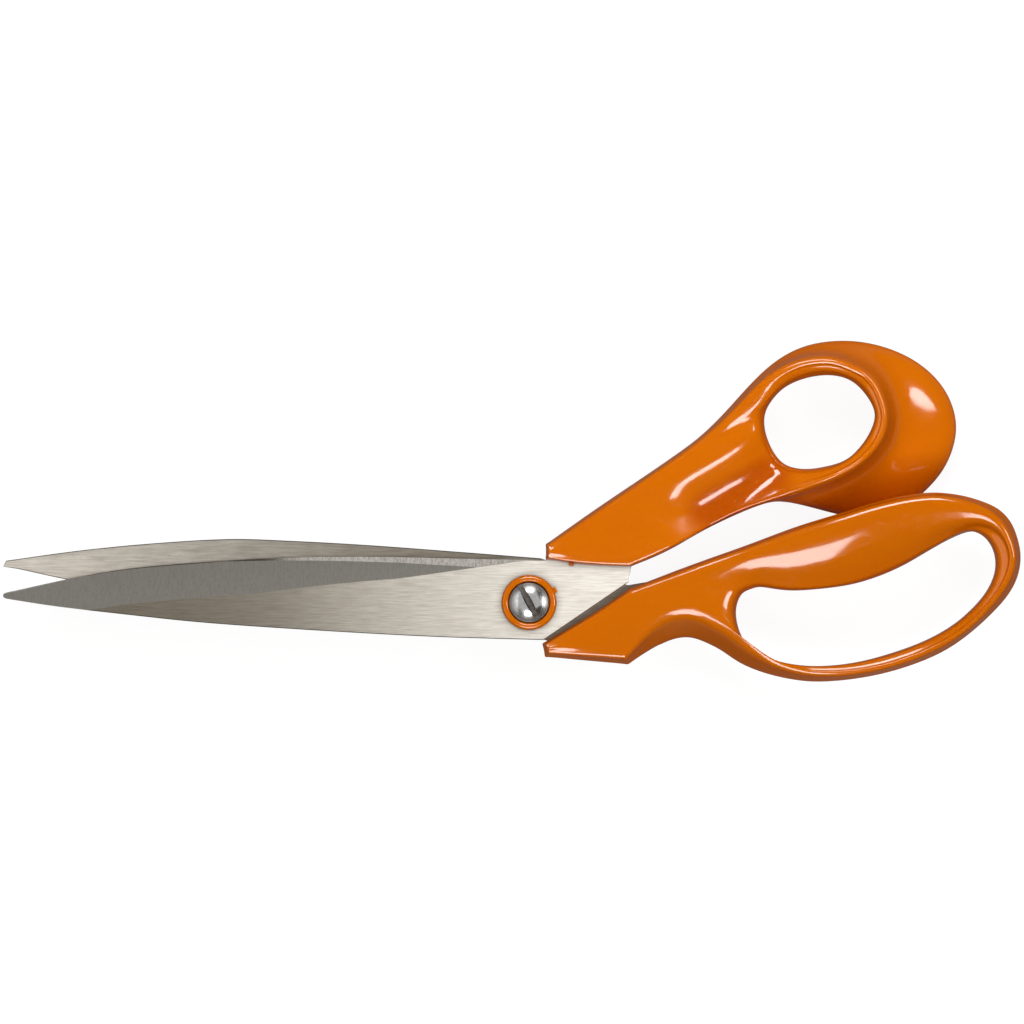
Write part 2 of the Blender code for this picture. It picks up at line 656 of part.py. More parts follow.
def handle(name, shape, level):
    """A smooth closed handle whose surface runs through the outlines."""
    points, faces, firm = handle_cage(shape)
    mesh = bpy.data.meshes.new(name)
    mesh.from_pydata((points * MM).tolist(), [], faces)
    bm = bmesh.new()
    bm.from_mesh(mesh)
    bm.verts.ensure_lookup_table()
    bmesh.ops.recalc_face_normals(bm, faces=bm.faces)
    bm.normal_update()
    normals = np.array([v.normal for v in bm.verts])
    places = points.copy()
    for _ in range(3):
        short = np.sum((points - smoothed(bm, places)) * normals, axis=1)
        places += normals * (short * firm)[:, None]
    for v in bm.verts:
        v.co = places[v.index] * MM
    bm.to_mesh(mesh)
    bm.free()
    mesh.shade_smooth()
    made = add_object(name, mesh, plastic())
    smoothing = made.modifiers.new("smoothing", "SUBSURF")
    smoothing.levels = smoothing.render_levels = level
    return made


# ---- Pivot ----
def pivot_screw():
    """Domed slotted screw whose threaded end passes through the back blade."""
    seat = BLADE_OUT + 0.9
    rim = seat + 0.9
    dome_r = 12.0
    dome_edge = SCREW_HEAD_R - 0.3
    dome_low = rim + 0.25 - math.sqrt(dome_r**2 - dome_edge**2)
    dome = [(r, dome_low + math.sqrt(dome_r**2 - r**2)) for r in np.linspace(dome_edge, 0.4, 7)]
    shoulder = -BLADE_IN + 0.2
    profile = [(0.0, SCREW_END), (SCREW_THREAD_R - 0.5, SCREW_END), (SCREW_THREAD_R, SCREW_END + 0.5)]
    profile += [(SCREW_THREAD_R, shoulder), (SCREW_SHANK_R, shoulder + 0.2), (SCREW_SHANK_R, seat)]
    profile += [(SCREW_HEAD_R, seat), (SCREW_HEAD_R, rim)] + dome + [(0.0, dome[-1][1])]
    mesh = mesh_from("pivot_screw", lambda bm: turned(bm, profile))
    made = add_object("pivot_screw", mesh, screw_steel())
    top = dome[-1][1]
    size = (4 * SCREW_HEAD_R, SCREW_SLOT_WIDTH, 2 * SCREW_SLOT_DEPTH)
    slot = mesh_from("screw_slot", lambda bm: box(bm, size, (0, 0, top), SCREW_SLOT_ANGLE))
    boolean(made, add_object("screw_slot", slot), "DIFFERENCE")
    shade_smooth(made, 30)
    return made


def pivot_bush():
    """Flanged plastic bush: it lines the front blade's hole and rings the screw head."""
    floor = BLADE_OUT + PART_GAP
    top = floor + FLANGE_HEIGHT
    seat = BLADE_OUT + 0.9 - PART_GAP
    bore = SCREW_SHANK_R + PART_GAP
    head_room = SCREW_HEAD_R + 0.2
    rounding = 0.75
    outer = arc((FLANGE_R - rounding, top - rounding), rounding, 0, 90, 4)
    inner = arc((head_room + 0.5, top - 0.5), 0.5, 90, 180, 3)
    profile = [(bore, BLADE_IN + 0.2), (SLEEVE_R, BLADE_IN + 0.2), (SLEEVE_R, floor), (FLANGE_R, floor)]
    profile += outer + inner + [(head_room, seat), (bore, seat)]
    mesh = mesh_from("pivot_bush", lambda bm: turned(bm, profile))
    made = add_object("pivot_bush", mesh, plastic())
    key_turn = math.radians(26)
    place = ((FLANGE_R + 0.1) * math.cos(key_turn), (FLANGE_R + 0.1) * math.sin(key_turn), floor + 0.45)
    key = mesh_from("bush_key", lambda bm: box(bm, (1.2, 1.5, 0.9), place, key_turn))
    boolean(made, add_object("bush_key", key), "UNION")
    shade_smooth(made, 35)
    return made


def spring_washer():
    """Dished steel washer that keeps the blades pressed together."""
    top = -(BLADE_OUT + PART_GAP)
    dish = 0.25
    inner, outer = SCREW_THREAD_R + 0.3, 5.6
    low = top - WASHER_THICKNESS
    profile = [(inner, low), (outer, low + dish), (outer, top), (inner, top - dish)]
    mesh = mesh_from("spring_washer", lambda bm: turned(bm, profile))
    made = add_object("spring_washer", mesh, screw_steel())
    shade_smooth(made, 30)
    return made


def lock_nut():
    """Thin hexagonal nut with chamfered corners."""
    top = -(BLADE_OUT + WASHER_THICKNESS + 2 * PART_GAP)
    corner = NUT_ACROSS_FLATS / math.sqrt(3)
    bore = SCREW_THREAD_R + PART_GAP
    made_mesh = mesh_from("lock_nut", lambda bm: rod(bm, corner, top - NUT_HEIGHT, top, sides=6))
    made = add_object("lock_nut", made_mesh, screw_steel())
    low = top - NUT_HEIGHT
    flat = NUT_ACROSS_FLATS / 2
    chamfer = [(flat - 0.1, low - 0.1), (corner + 1, low - 0.1), (corner + 1, low + 0.75)]
    cut = mesh_from("nut_chamfer", lambda bm: turned(bm, chamfer))
    boolean(made, add_object("nut_chamfer", cut), "DIFFERENCE")
    hole = mesh_from("nut_bore", lambda bm: rod(bm, bore, low - 1, top + 1))
    boolean(made, add_object("nut_bore", hole), "DIFFERENCE")
    return made


def shears():
    for old in list(bpy.data.objects):
        bpy.data.objects.remove(old)
    pivot_empty()
    front_outline = blade_outline(FRONT_SPINE, FRONT_TIP, FRONT_EDGE, FRONT_TANG)
    back_outline = blade_outline(BACK_SPINE, BACK_TIP, BACK_EDGE, BACK_TANG)
    blade("front_blade", front_outline, FRONT_EDGE, 1, SLEEVE_R + PART_GAP, FRONT_ANCHORS)
    blade("back_blade", back_outline, BACK_TIP + BACK_EDGE, -1, SCREW_THREAD_R + PART_GAP, BACK_ANCHORS)
    thumb = handle("thumb_handle", THUMB, 1)
    boolean(thumb, tang_cavity("thumb_cavity", front_outline, 1, FRONT_ANCHORS), "DIFFERENCE")
    relief = mesh_from("swing_relief", lambda bm: box(bm, SWING_RELIEF_SIZE, SWING_RELIEF_AT))
    boolean(thumb, add_object("swing_relief", relief), "DIFFERENCE")
    nub = mesh_from("moulding_nub", lambda bm: box(bm, NUB_SIZE, NUB_AT, NUB_TURN))
    boolean(thumb, add_object("moulding_nub", nub), "UNION")
    finger = handle("finger_handle", FINGER, 1)
    boolean(finger, tang_cavity("finger_cavity", back_outline, -1, BACK_ANCHORS), "DIFFERENCE")
    pivot_screw()
    pivot_bush()
    spring_washer()
    lock_nut()


shears()
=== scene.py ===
"""Looks of the fabric shears: fine meshes, materials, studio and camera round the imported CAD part.

Shapes are worked out in millimetres, with heights counted from the plane where the two blades meet, and
each finished mesh is scaled to metres and lifted to the frame's heights.
"""

from math import cos, pi, radians, sin, sqrt, tan, tau

import bmesh
import bpy
import numpy as np
from mathutils import Matrix, Vector
from numpy.linalg import norm


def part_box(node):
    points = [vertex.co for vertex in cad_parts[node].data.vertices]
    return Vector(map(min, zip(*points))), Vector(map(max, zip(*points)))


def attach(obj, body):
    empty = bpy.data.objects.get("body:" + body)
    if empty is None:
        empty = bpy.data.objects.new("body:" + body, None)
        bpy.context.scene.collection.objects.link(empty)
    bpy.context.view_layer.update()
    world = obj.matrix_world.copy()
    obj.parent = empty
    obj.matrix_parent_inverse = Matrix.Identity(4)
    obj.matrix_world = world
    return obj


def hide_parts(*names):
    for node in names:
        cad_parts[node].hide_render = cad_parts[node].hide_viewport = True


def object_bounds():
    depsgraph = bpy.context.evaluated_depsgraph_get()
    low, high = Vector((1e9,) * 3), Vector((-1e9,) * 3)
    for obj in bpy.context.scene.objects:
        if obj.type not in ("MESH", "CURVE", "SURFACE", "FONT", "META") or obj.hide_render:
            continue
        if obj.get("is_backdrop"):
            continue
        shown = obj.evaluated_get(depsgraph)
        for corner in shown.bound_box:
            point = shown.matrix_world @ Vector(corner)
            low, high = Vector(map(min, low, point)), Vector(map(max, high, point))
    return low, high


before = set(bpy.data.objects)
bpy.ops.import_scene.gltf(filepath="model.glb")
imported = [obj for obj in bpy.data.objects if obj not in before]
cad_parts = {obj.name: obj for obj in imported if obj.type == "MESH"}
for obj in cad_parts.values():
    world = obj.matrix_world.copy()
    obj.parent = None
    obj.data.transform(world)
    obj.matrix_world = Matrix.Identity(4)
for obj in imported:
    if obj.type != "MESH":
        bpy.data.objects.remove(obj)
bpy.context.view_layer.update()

MM = 0.001

# ---- Sizes shared with the CAD part ----
BLADE_THICKNESS = 2.8
BLADE_GAP = 0.3  # running gap between the two blades
EDGE_LAND = 0.2  # steel left at the cutting edge
BLADE_IN = BLADE_GAP / 2  # distance of each blade's inner face from the middle plane
BLADE_OUT = BLADE_IN + BLADE_THICKNESS
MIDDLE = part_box("front_blade")[0].z / MM - BLADE_IN  # height of the plane where the blades meet

HEAD_R = 5.35
SHANK_R = 3.15
THREAD_R = 2.85
SLOT_WIDTH = 1.4
SLOT_DEPTH = 1.5
SLOT_ANGLE = radians(-62)
SLEEVE_R = 4.3
FLANGE_R = 7.3
FLANGE_HEIGHT = 2.0
NUT_ACROSS_FLATS = 9.0
NUT_HEIGHT = 2.4
WASHER_THICKNESS = 0.8
PART_GAP = 0.1
SCREW_END = -(BLADE_OUT + WASHER_THICKNESS + NUT_HEIGHT + 0.8)

# ---- Fineness of the visible meshes ----
HANDLE_LEVEL = 3  # subdivisions of a handle's cage
TANG_GAP = 0.06  # visible seam between steel and plastic
EDGE_BREAK = 0.07  # chamfer on a blade's square edges
BLADE_STEPS = 10  # points along each span of a blade outline
SPLINE_STEPS = 16  # points along each span of a handle outline
ROUND_SIDES = 160  # sides of a turned piece


# ---- Meshes and Booleans ----
def add_object(name, data, finish=None):
    """Links a mesh, lamp or camera as a named object; a mesh with no finish is only a cutter."""
    made = bpy.data.objects.new(name, data)
    bpy.context.scene.collection.objects.link(made)
    if finish is not None:
        data.materials.append(finish)
    return made


def solid(name, build, *sizes, finish=None):
    """An object filled by build(bm, *sizes), with its faces turned outwards."""
    bm = bmesh.new()
    build(bm, *sizes)
    bmesh.ops.recalc_face_normals(bm, faces=bm.faces)
    mesh = bpy.data.meshes.new(name)
    bm.to_mesh(mesh)
    bm.free()
    return add_object(name, mesh, finish)


def boolean(target, tool, operation="DIFFERENCE"):
    modifier = target.modifiers.new(f"{operation.lower()}_{tool.name}", "BOOLEAN")
    modifier.operation = operation
    modifier.solver = "EXACT"
    modifier.object = tool


def baked(made):
    """Applies an object's modifiers to a new mesh of its own."""
    bpy.context.view_layer.update()
    deps = bpy.context.evaluated_depsgraph_get()
    mesh = bpy.data.meshes.new_from_object(made.evaluated_get(deps))
    made.modifiers.clear()
    made.data = mesh
    return mesh


def settle(made, sharp_degrees, node, body):
    """Bakes a piece at the frame's heights, deletes its cutters and lets it stand for a CAD node."""
    finish = made.data.materials[0]
    tools = [m.object for m in made.modifiers if m.type == "BOOLEAN"]
    mesh = baked(made)
    mesh.materials.clear()
    mesh.materials.append(finish)
    mesh.transform(Matrix.Translation((0, 0, MIDDLE * MM)))
    mesh.polygons.foreach_set("material_index", [0] * len(mesh.polygons))
    mesh.shade_smooth()
    mesh.set_sharp_from_angle(angle=radians(sharp_degrees))
    for tool in tools:
        for inner in [m.object for m in tool.modifiers if m.type == "BOOLEAN"]:
            bpy.data.objects.remove(inner)
        bpy.data.objects.remove(tool)
    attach(made, body)
    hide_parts(node)


def loft(bm, sections):
    """Joins closed sections of (x, y, z) points one to the next and closes both ends."""
    rings = [[bm.verts.new([c * MM for c in point]) for point in section] for section in sections]
    for low, high in zip(rings, rings[1:]):
        for k in range(len(low)):
            n = (k + 1) % len(low)
            bm.faces.new((low[k], low[n], high[n], high[k]))
    bm.faces.new(rings[0])
    bm.faces.new(rings[-1])


def plate(bm, outline, bottom, top, chamfer=0.0):
    """A flat plate with the given plan outline, its square edges broken by a chamfer."""
    levels = [(0.0, bottom), (0.0, top)]
    if chamfer:
        levels = [(chamfer, bottom), (0.0, bottom + chamfer), (0.0, top - chamfer), (chamfer, top)]
    sections = []
    for inset, z in levels:
        ring = grow(outline, -inset) if inset else outline
        sections.append([(x, y, z) for x, y in ring])
    loft(bm, sections)


def rod(bm, radius, bottom, top, centre=(0.0, 0.0), sides=ROUND_SIDES):
    """An upright cylinder, or a prism with few sides."""
    height, r = (top - bottom) * MM, radius * MM
    at = Matrix.Translation((centre[0] * MM, centre[1] * MM, bottom * MM + height / 2))
    bmesh.ops.create_cone(bm, cap_ends=True, segments=sides, radius1=r, radius2=r, depth=height, matrix=at)


def box(bm, size, centre, turn=0.0):
    """A box turned about its own upright axis."""
    at = Matrix.Translation([c * MM for c in centre]) @ Matrix.Rotation(turn, 4, "Z")
    at = at @ Matrix.Diagonal((size[0] * MM, size[1] * MM, size[2] * MM, 1.0))
    bmesh.ops.create_cube(bm, size=1.0, matrix=at)


def turned(bm, profile):
    """A ring or shaft turned about the pivot axis from a closed (radius, height) profile."""
    verts = [bm.verts.new((r * MM, 0, z * MM)) for r, z in profile]
    edges = [bm.edges.new((verts[i], verts[(i + 1) % len(verts)])) for i in range(len(verts))]
    about = {"axis": (0, 0, 1), "cent": (0, 0, 0), "angle": tau}
    bmesh.ops.spin(bm, geom=verts + edges, steps=ROUND_SIDES, use_merge=True, **about)
    bmesh.ops.remove_doubles(bm, verts=bm.verts, dist=1e-7)


def arc(centre, radius, start, end, steps):
    """Points of a circular arc, angles in degrees."""
    angles = np.radians(np.linspace(start, end, steps + 1))
    return [(centre[0] + radius * cos(a), centre[1] + radius * sin(a)) for a in angles]


# ---- Smooth curves through a few points ----
def spline(points, closed=False, per_span=SPLINE_STEPS):
    """A centripetal Catmull-Rom curve through the points."""
    p = np.array(points, float)
    if closed:
        p = np.vstack([p[-1], p, p[0], p[1]])
    else:
        p = np.vstack([2 * p[0] - p[1], p, 2 * p[-1] - p[-2]])
    curve = []
    for a, b, c, d in zip(p, p[1:], p[2:], p[3:]):
        chords = [max(norm(v - u), 1e-6) ** 0.5 for u, v in ((a, b), (b, c), (c, d))]
        knots = np.cumsum([0.0] + chords)
        t = np.linspace(knots[1], knots[2], per_span, endpoint=False)[:, None]

        def meet(u, v, i, j):
            return ((knots[j] - t) * u + (t - knots[i]) * v) / (knots[j] - knots[i])

        ab, bc, cd = meet(a, b, 0, 1), meet(b, c, 1, 2), meet(c, d, 2, 3)
        curve.append(meet(meet(ab, bc, 0, 2), meet(bc, cd, 1, 3), 1, 2))
    if not closed:
        curve.append(p[-2][None])
    return np.vstack(curve)


def at_fractions(curve, fractions):
    """Points at the given shares of a curve's length."""
    steps = norm(np.diff(curve, axis=0), axis=1)
    length = np.concatenate([[0.0], np.cumsum(steps)])
    where = np.array(fractions) * length[-1]
    return np.column_stack([np.interp(where, length, curve[:, k]) for k in range(curve.shape[1])])


def span_curves(spans, corners):
    """One dense curve per span of a closed outline, smooth except at the corner spans' first points."""
    count, firsts = len(spans), corners or [0]
    curves = [None] * count
    for first in firsts:
        run = [first]
        while (run[-1] + 1) % count not in firsts:
            run.append((run[-1] + 1) % count)
        points = [p for i in run for p in spans[i]]
        if corners:
            dense = spline(points + spans[(run[-1] + 1) % count][:1])
        else:
            dense = spline(points, closed=True)
            dense = np.vstack([dense, dense[:1]])
        start = 0
        for i in run:
            end = start + SPLINE_STEPS * len(spans[i])
            curves[i] = dense[start : end + 1]
            start = end
    return curves


def periodic(values, where):
    """Smooth periodic interpolation of one value per tie, at fractional tie numbers."""
    v = np.array(values, float)
    i = np.floor(where).astype(int)
    t = where - i
    a, b, c, d = (v[(i + k) % len(v)] for k in (-1, 0, 1, 2))
    return b + 0.5 * t * (c - a + t * (2 * a - 5 * b + 4 * c - d + t * (3 * (b - c) + d - a)))


# ---- Blade shapes ----
FRONT_SPINE = [(3.9, -9.95), (-25, -9.1), (-63, -7), (-88, -5.2), (-107, -3.2)]
FRONT_SPINE += [(-126.5, -0.9), (-138.8, 1)]
FRONT_TIP = [(-139.5, 1.35), (-139.7, 1.9), (-139.4, 2.4)]
FRONT_EDGE = [(-138.9, 2.65), (-120, 6.7), (-106.6, 8.9), (-86.3, 10.7), (-66, 11.8)]
FRONT_EDGE += [(-45, 12.15), (-11.3, 11.5), (4.4, 11.3)]
FRONT_TANG = [(9, 14), (43, 38), (49, 39.5), (53.5, 35.5), (52, 31)]
FRONT_TANG += [(38, 20.5), (28.5, 12.5), (27.1, 9.3), (26.4, 5.4)]

BACK_SPINE = [(3, 11.75), (-18, 13.4), (-43.7, 15.3), (-63, 16.35), (-79, 16.85)]
BACK_SPINE += [(-101, 15.6), (-120, 13.7), (-138.8, 11.1)]
BACK_TIP = [(-139.6, 9.5)]
BACK_EDGE = [(-136, 9), (-122.4, 6.05), (-107, 3.4), (-88, 0.7), (-63, -2.6)]
BACK_EDGE += [(-44, -4.9), (-25, -7), (3.5, -9.7)]
BACK_TANG = [(9, -11.5), (28, -10.5), (36, -3), (47, -4.5)]
BACK_TANG += [(50.5, -1), (50, 6.2), (46, 8), (26.3, 4.6)]

# Widths of the ground faces, measured inwards from the cutting edge, against the place along the blade.
BEVEL_WIDTH = [(-141, 9.3), (-90, 9.4), (-72.7, 9.2), (-34, 5.6), (-14, 2.25), (-1, 0.2), (4.4, 0.1)]
HONED_WIDTH = [(-141, 0.2), (-80, 0.25), (-45, 1.25), (-34, 1.45), (-14, 2.15), (-1, 0.1), (4.4, 0.05)]
BEVEL_SLOPE = tan(radians(15))
HONED_SLOPE = tan(radians(40))
FRONT_ANCHORS = [(28, 22.5), (43, 32.5)]  # holes in the tang, filled by the handle
BACK_ANCHORS = [(28, -4), (44, 2)]
ANCHOR_R = 2.6


def blade_outline(spine, tip, edge, tang):
    """The closed plan outline: along the spine to the tip, back along the edge and round the tang."""
    back = [tuple(p) for p in spline(spine, per_span=BLADE_STEPS)]
    cutting = [tuple(p) for p in spline(edge, per_span=BLADE_STEPS)]
    return back + tip + cutting + tang


def grow(outline, distance):
    """The outline moved outwards, each corner along the bisector of its two sides."""
    p = np.array(outline, float)
    along = np.roll(p, -1, axis=0) - p
    along /= norm(along, axis=1)[:, None]
    x, y = p.T
    clockwise = np.sum(x * np.roll(y, -1) - y * np.roll(x, -1)) < 0
    outwards = np.column_stack([along[:, 1], -along[:, 0]]) * (-1.0 if clockwise else 1.0)
    middle = np.roll(outwards, 1, axis=0) + outwards
    scale = 2 * distance / np.sum(middle**2, axis=1)
    return p + middle * np.minimum(scale, 1.5 * distance)[:, None]


def grinding_cutter(name, edge, side):
    """The space that grinding takes off one blade's outer face; side is +1 for the front blade."""
    curve = spline(edge, per_span=BLADE_STEPS)
    if curve[0][0] < curve[-1][0]:
        out = curve[0] - curve[1]
        curve = np.vstack([curve[0] + out * 3 / norm(out), curve])
    sections = []
    for x, y in curve:
        bevel = np.interp(x, *zip(*BEVEL_WIDTH))
        honed = np.interp(x, *zip(*HONED_WIDTH))
        honed_top = BLADE_OUT - (bevel - honed) * BEVEL_SLOPE
        land = max(BLADE_IN + EDGE_LAND, honed_top - honed * HONED_SLOPE)
        profile = [
            (bevel + 2, BLADE_OUT + 2 * BEVEL_SLOPE),
            (honed, honed_top),
            (0.0, land),
            (-4.0, land),
            (-4.0, BLADE_OUT + 3),
            (bevel + 2, BLADE_OUT + 3),
        ]
        sections.append([(x, y - side * inwards, side * z) for inwards, z in profile])
    return solid(name, loft, sections)


def tang_cavity(name, outline, side, anchors):
    """The room a handle leaves for its tang, a little larger, with posts through the anchor holes."""
    low, high = sorted((side * (BLADE_IN - TANG_GAP), side * (BLADE_OUT + TANG_GAP)))
    room = solid(name, plate, grow(outline, TANG_GAP), low, high)

    def posts(bm):
        for centre in anchors:
            rod(bm, ANCHOR_R - TANG_GAP, low - 1, high + 1, centre, sides=24)

    boolean(room, solid(f"{name}_posts", posts))
    return room


# ---- Handle shapes ----
# A handle is a smooth ring round its finger hole with a flat arm that holds the blade's tang. Two closed
# plan outlines, the edge of the front face and the widest one, run clockwise: round the ring from the arm's
# upper root to its lower root, along the arm's lower side to its end, and back along its upper side. Each
# is a list of spans; every span starts at a tie, and the values below the outlines stand at the ties. The
# hole has the ring's ties and one more, in the middle of the arm's root.
THUMB = dict(
    ring_ties=7,
    corners=[7, 8, 9],
    hole=[
        [(62.7, 50.2)], [(68, 57.2)], [(78.3, 60.5), (86.1, 58.6)], [(91.7, 50.8), (90.5, 45.2)],
        [(84.9, 38.4), (79, 36.2)], [(72.3, 35.5)], [(67.2, 37.2)], [(63.4, 43.2)],
    ],
    front=[
        [(44.5, 42.3), (53, 49.7)], [(61.9, 59), (70, 63.7)], [(79, 65), (86.5, 62.6), (91.3, 59.2)],
        [(94.8, 50.5), (94, 44.8), (91, 40)], [(86, 35.7), (80, 32.6), (73.5, 30.2)], [(65.5, 27.5)],
        [(56.5, 24.5), (45.4, 19), (36, 13.8)], [(26.6, 9.8), (14, 10.5)], [(5, 11.9)], [(5, 15.1)],
        [(17.2, 23.4)],
    ],
    widest=[
        [(44.9, 43.7), (52, 50.5)], [(60.5, 59.7), (70, 66.8)],
        [(81, 69.4), (92, 68.4), (102.5, 64), (110, 56.8)],
        [(113.2, 47.5), (111.3, 38.2), (106.3, 31), (99, 25.3)], [(90, 22.5), (82, 23.5), (73, 25.8)],
        [(65.5, 26.8)], [(56.6, 24), (45.6, 18.7), (36.2, 13.4)], [(26.9, 9.5), (14, 10.1)],
        [(4.5, 11.5)], [(4.5, 15.5)], [(16.7, 24.1)],
    ],
    steps=[3, 3, 6, 6, 4, 2],
    arm_steps=[5, 3],
    front_z=[7.8, 8.6, 9, 8.2, 8.6, 8.4, 8, 7, 7, 7, 7.2],
    widest_z=[-0.5, -2.5, -6, -9.5, -9, -2, 0, 2, 3, 2.5, 1.5],
    rear_z=[-6, -10, -14, -17, -16.5, -12, -8, -4.6, -4.5, -4.5, -4.6],
    edge=[1.4, 1.4, 1.2, 1, 1, 1, 1, 0.7, 0.5, 0.7, 1.1],
    valley=[0.35, 0.35, 0.33, 0.17, 0.22, 0.4] + [0.35] * 5,
    valley_z=[0.6, 0.5, 0.5, 0.42, 0.45, 0.6] + [0.65] * 5,
    flare=[0.7, 0.7, 0.66, 0.6, 0.6] + [0.7] * 6,
    flare_z=[0.28, 0.24, 0.24, 0.24, 0.24, 0.3] + [0.33] * 5,
    rear_inset=[3, 3.5, 4, 5, 5, 4, 3, 2, 1.2, 1.2, 2],
    neck_z=[3, 4, 5, 4, 2.5, 0.5, -1, 0],
    lip=[4, 3, 2.8, 2.4, 3, 4, 4.5, 4.5],
    fall=[0.4, 0.3, 0.4, 0.4, 0.6, 0.9, 0.9, 0.7],
    mouth=[4, 4, 5, 7, 7, 6, 5, 4],
)
FINGER = dict(
    ring_ties=9,
    corners=[10, 11, 12, 14],
    hole=[
        [(56.4, 2.1)], [(61.3, 4.1), (68, 3.2)], [(79, 3.8), (88, 5.4)],
        [(98, 9.2), (109.2, 15.5), (116.3, 19), (121.6, 16.7)], [(123.8, 9.8), (121.4, 3)],
        [(113.5, -5.2), (105.5, -9.9)], [(95.6, -13.6), (86, -16)],
        [(76, -16.9), (67, -15.8), (60.7, -13.3)], [(57, -9.8)], [(54.95, -3.2)],
    ],
    front=[
        [(42.3, 8.8)], [(58.6, 14.6), (71.3, 19.2)], [(84.3, 23.2), (94.3, 26.2)],
        [(106, 28.2), (116.9, 26.8), (125.3, 22)], [(129.3, 11.5), (127, 4.6)],
        [(117.4, -6.5), (108.5, -12.4)], [(96, -17.2), (86, -19.1)],
        [(75.6, -19.4), (66, -17.2), (58.5, -12.8)], [(52.5, -8), (41, -3.4)], [(33.5, -6.8)],
        [(25.6, -14.9)], [(5.2, -13.4)], [(4.5, -11.2)], [(18.4, -2.7)], [(26.9, 3.1)],
    ],
    widest=[
        [(42.1, 9.6)], [(58.3, 15.4), (71, 20.1)], [(84, 24.1), (94, 27.1)],
        [(106, 29.1), (117.6, 27.7), (126.7, 23)], [(130.5, 12.2), (128.3, 3.8)],
        [(118, -7.4), (109.2, -13.4)], [(96.5, -18.2), (86, -20.3)],
        [(75.5, -21), (65, -19.4), (56.5, -16.3)], [(51, -12.7), (42, -9.2)], [(34.5, -11.3)],
        [(26.3, -16.4)], [(4.3, -14.4)], [(3.6, -10.9)], [(18, -2.2)], [(26.7, 3.7)],
    ],
    steps=[3, 4, 3, 7, 4, 3, 3, 5],
    arm_steps=[4, 2, 3],
    front_z=[7.2, 7.6, 9.9, 9.5, 8, 6.2, 5.8, 6.4, 7.4, 7.2, 6.8, 6.6, 6.6, 6.7, 6.9],
    widest_z=[2.5, 3, 5, 5, 1, -2, -2, -2, -3, -2.5, 0, 1.5, 2, 2.5, 2.5],
    rear_z=[-5.5, -6.5, -7, -7.5, -8.5, -9, -9, -9, -8, -6.5, -5.2, -4.8, -4.5, -4.5, -4.7],
    edge=[1.4, 1.4, 1.6, 1.6, 1.2, 1, 1, 1.2, 1.7, 1.8, 1, 0.7, 0.6, 0.8, 1.1],
    valley=[0.35] * 7 + [0.3, 0.3, 0.3] + [0.35] * 5,
    valley_z=[0.65] * 7 + [0.75, 0.8, 0.75] + [0.65] * 5,
    flare=[0.7] * 15,
    flare_z=[0.33] * 7 + [0.4, 0.42, 0.4] + [0.33] * 5,
    rear_inset=[3, 4, 8, 9, 3, 2, 2, 2.5, 3, 2.5, 1.6, 1.2, 1.2, 1.8, 2.2],
    neck_z=[1.5, 1, 1, 1, -2, -3, -3, -2, 0, 1],
    lip=[3, 2, 1.4, 2.6, 4.2, 3.4, 3, 2.6, 2.6, 3],
    fall=[1, 2.2, 4.7, 4.4, 0.8, 0.4, 0.3, 0.2, 0.3, 0.5],
    mouth=[3, 2, 2, 2, 2, 1.6, 1.6, 1.8, 2.5, 3],
)
SWING_RELIEF_SIZE = (8.0, 14.0, 8.0)  # lets the back blade's spine swing past the thumb handle
SWING_RELIEF_AT = (4.6, 14.0, -4.0 + BLADE_IN)
NUB_SIZE = (1.3, 2.0, 1.6)  # small stub on the thumb handle's lower side, over the blade's heel
NUB_AT = (11.3, 10.7, BLADE_OUT + TANG_GAP + 0.8)
NUB_TURN = radians(-7)
CRISP = 0.8  # distance of the extra sections that keep a plan corner tight
ACROSS = 4  # faces across an arm
ROWS = 15  # points round a section
CROWN = 0.25  # rise of an arm's front face between its edges


def ring_places(shape):
    places = [i + k / steps for i, steps in enumerate(shape["steps"]) for k in range(steps)]
    return np.array(places + [shape["ring_ties"] - 1.0])


def arm_places(shape):
    """Places along the arm's lower side after its root, counted in ties, with more beside each corner."""
    total = len(shape["widest"])
    root = shape["ring_ties"] - 1
    curves = span_curves(shape["widest"], shape["corners"])
    ties = range(len(shape["arm_steps"]) + 1)
    corner = [root + j in shape["corners"] or total - j in shape["corners"] for j in ties]
    places = []
    for j, steps in enumerate(shape["arm_steps"]):
        near = CRISP / norm(np.diff(curves[root + j], axis=0), axis=1).sum()
        inner = [k / steps for k in range(1, steps)]
        inner = ([near] if corner[j] else []) + inner + ([1 - near] if corner[j + 1] else [])
        places += [j + f for f in inner + [1.0]]
    return np.array(places)


def outline_points(curves, places):
    return np.vstack([at_fractions(curves[int(p)], [p - int(p)]) for p in places])


def inward(outline):
    """Unit directions into a clockwise closed outline, at each of its points."""
    along = np.roll(outline, -1, axis=0) - outline
    along /= norm(along, axis=1, keepdims=True)
    along += np.roll(along, 1, axis=0)
    along /= norm(along, axis=1, keepdims=True)
    return np.column_stack([along[:, 1], -along[:, 0]])


def tied(shape, places, *names):
    """A shape's values of these names between its ties, each as a column."""
    return [periodic(shape[name], places)[:, None] for name in names]


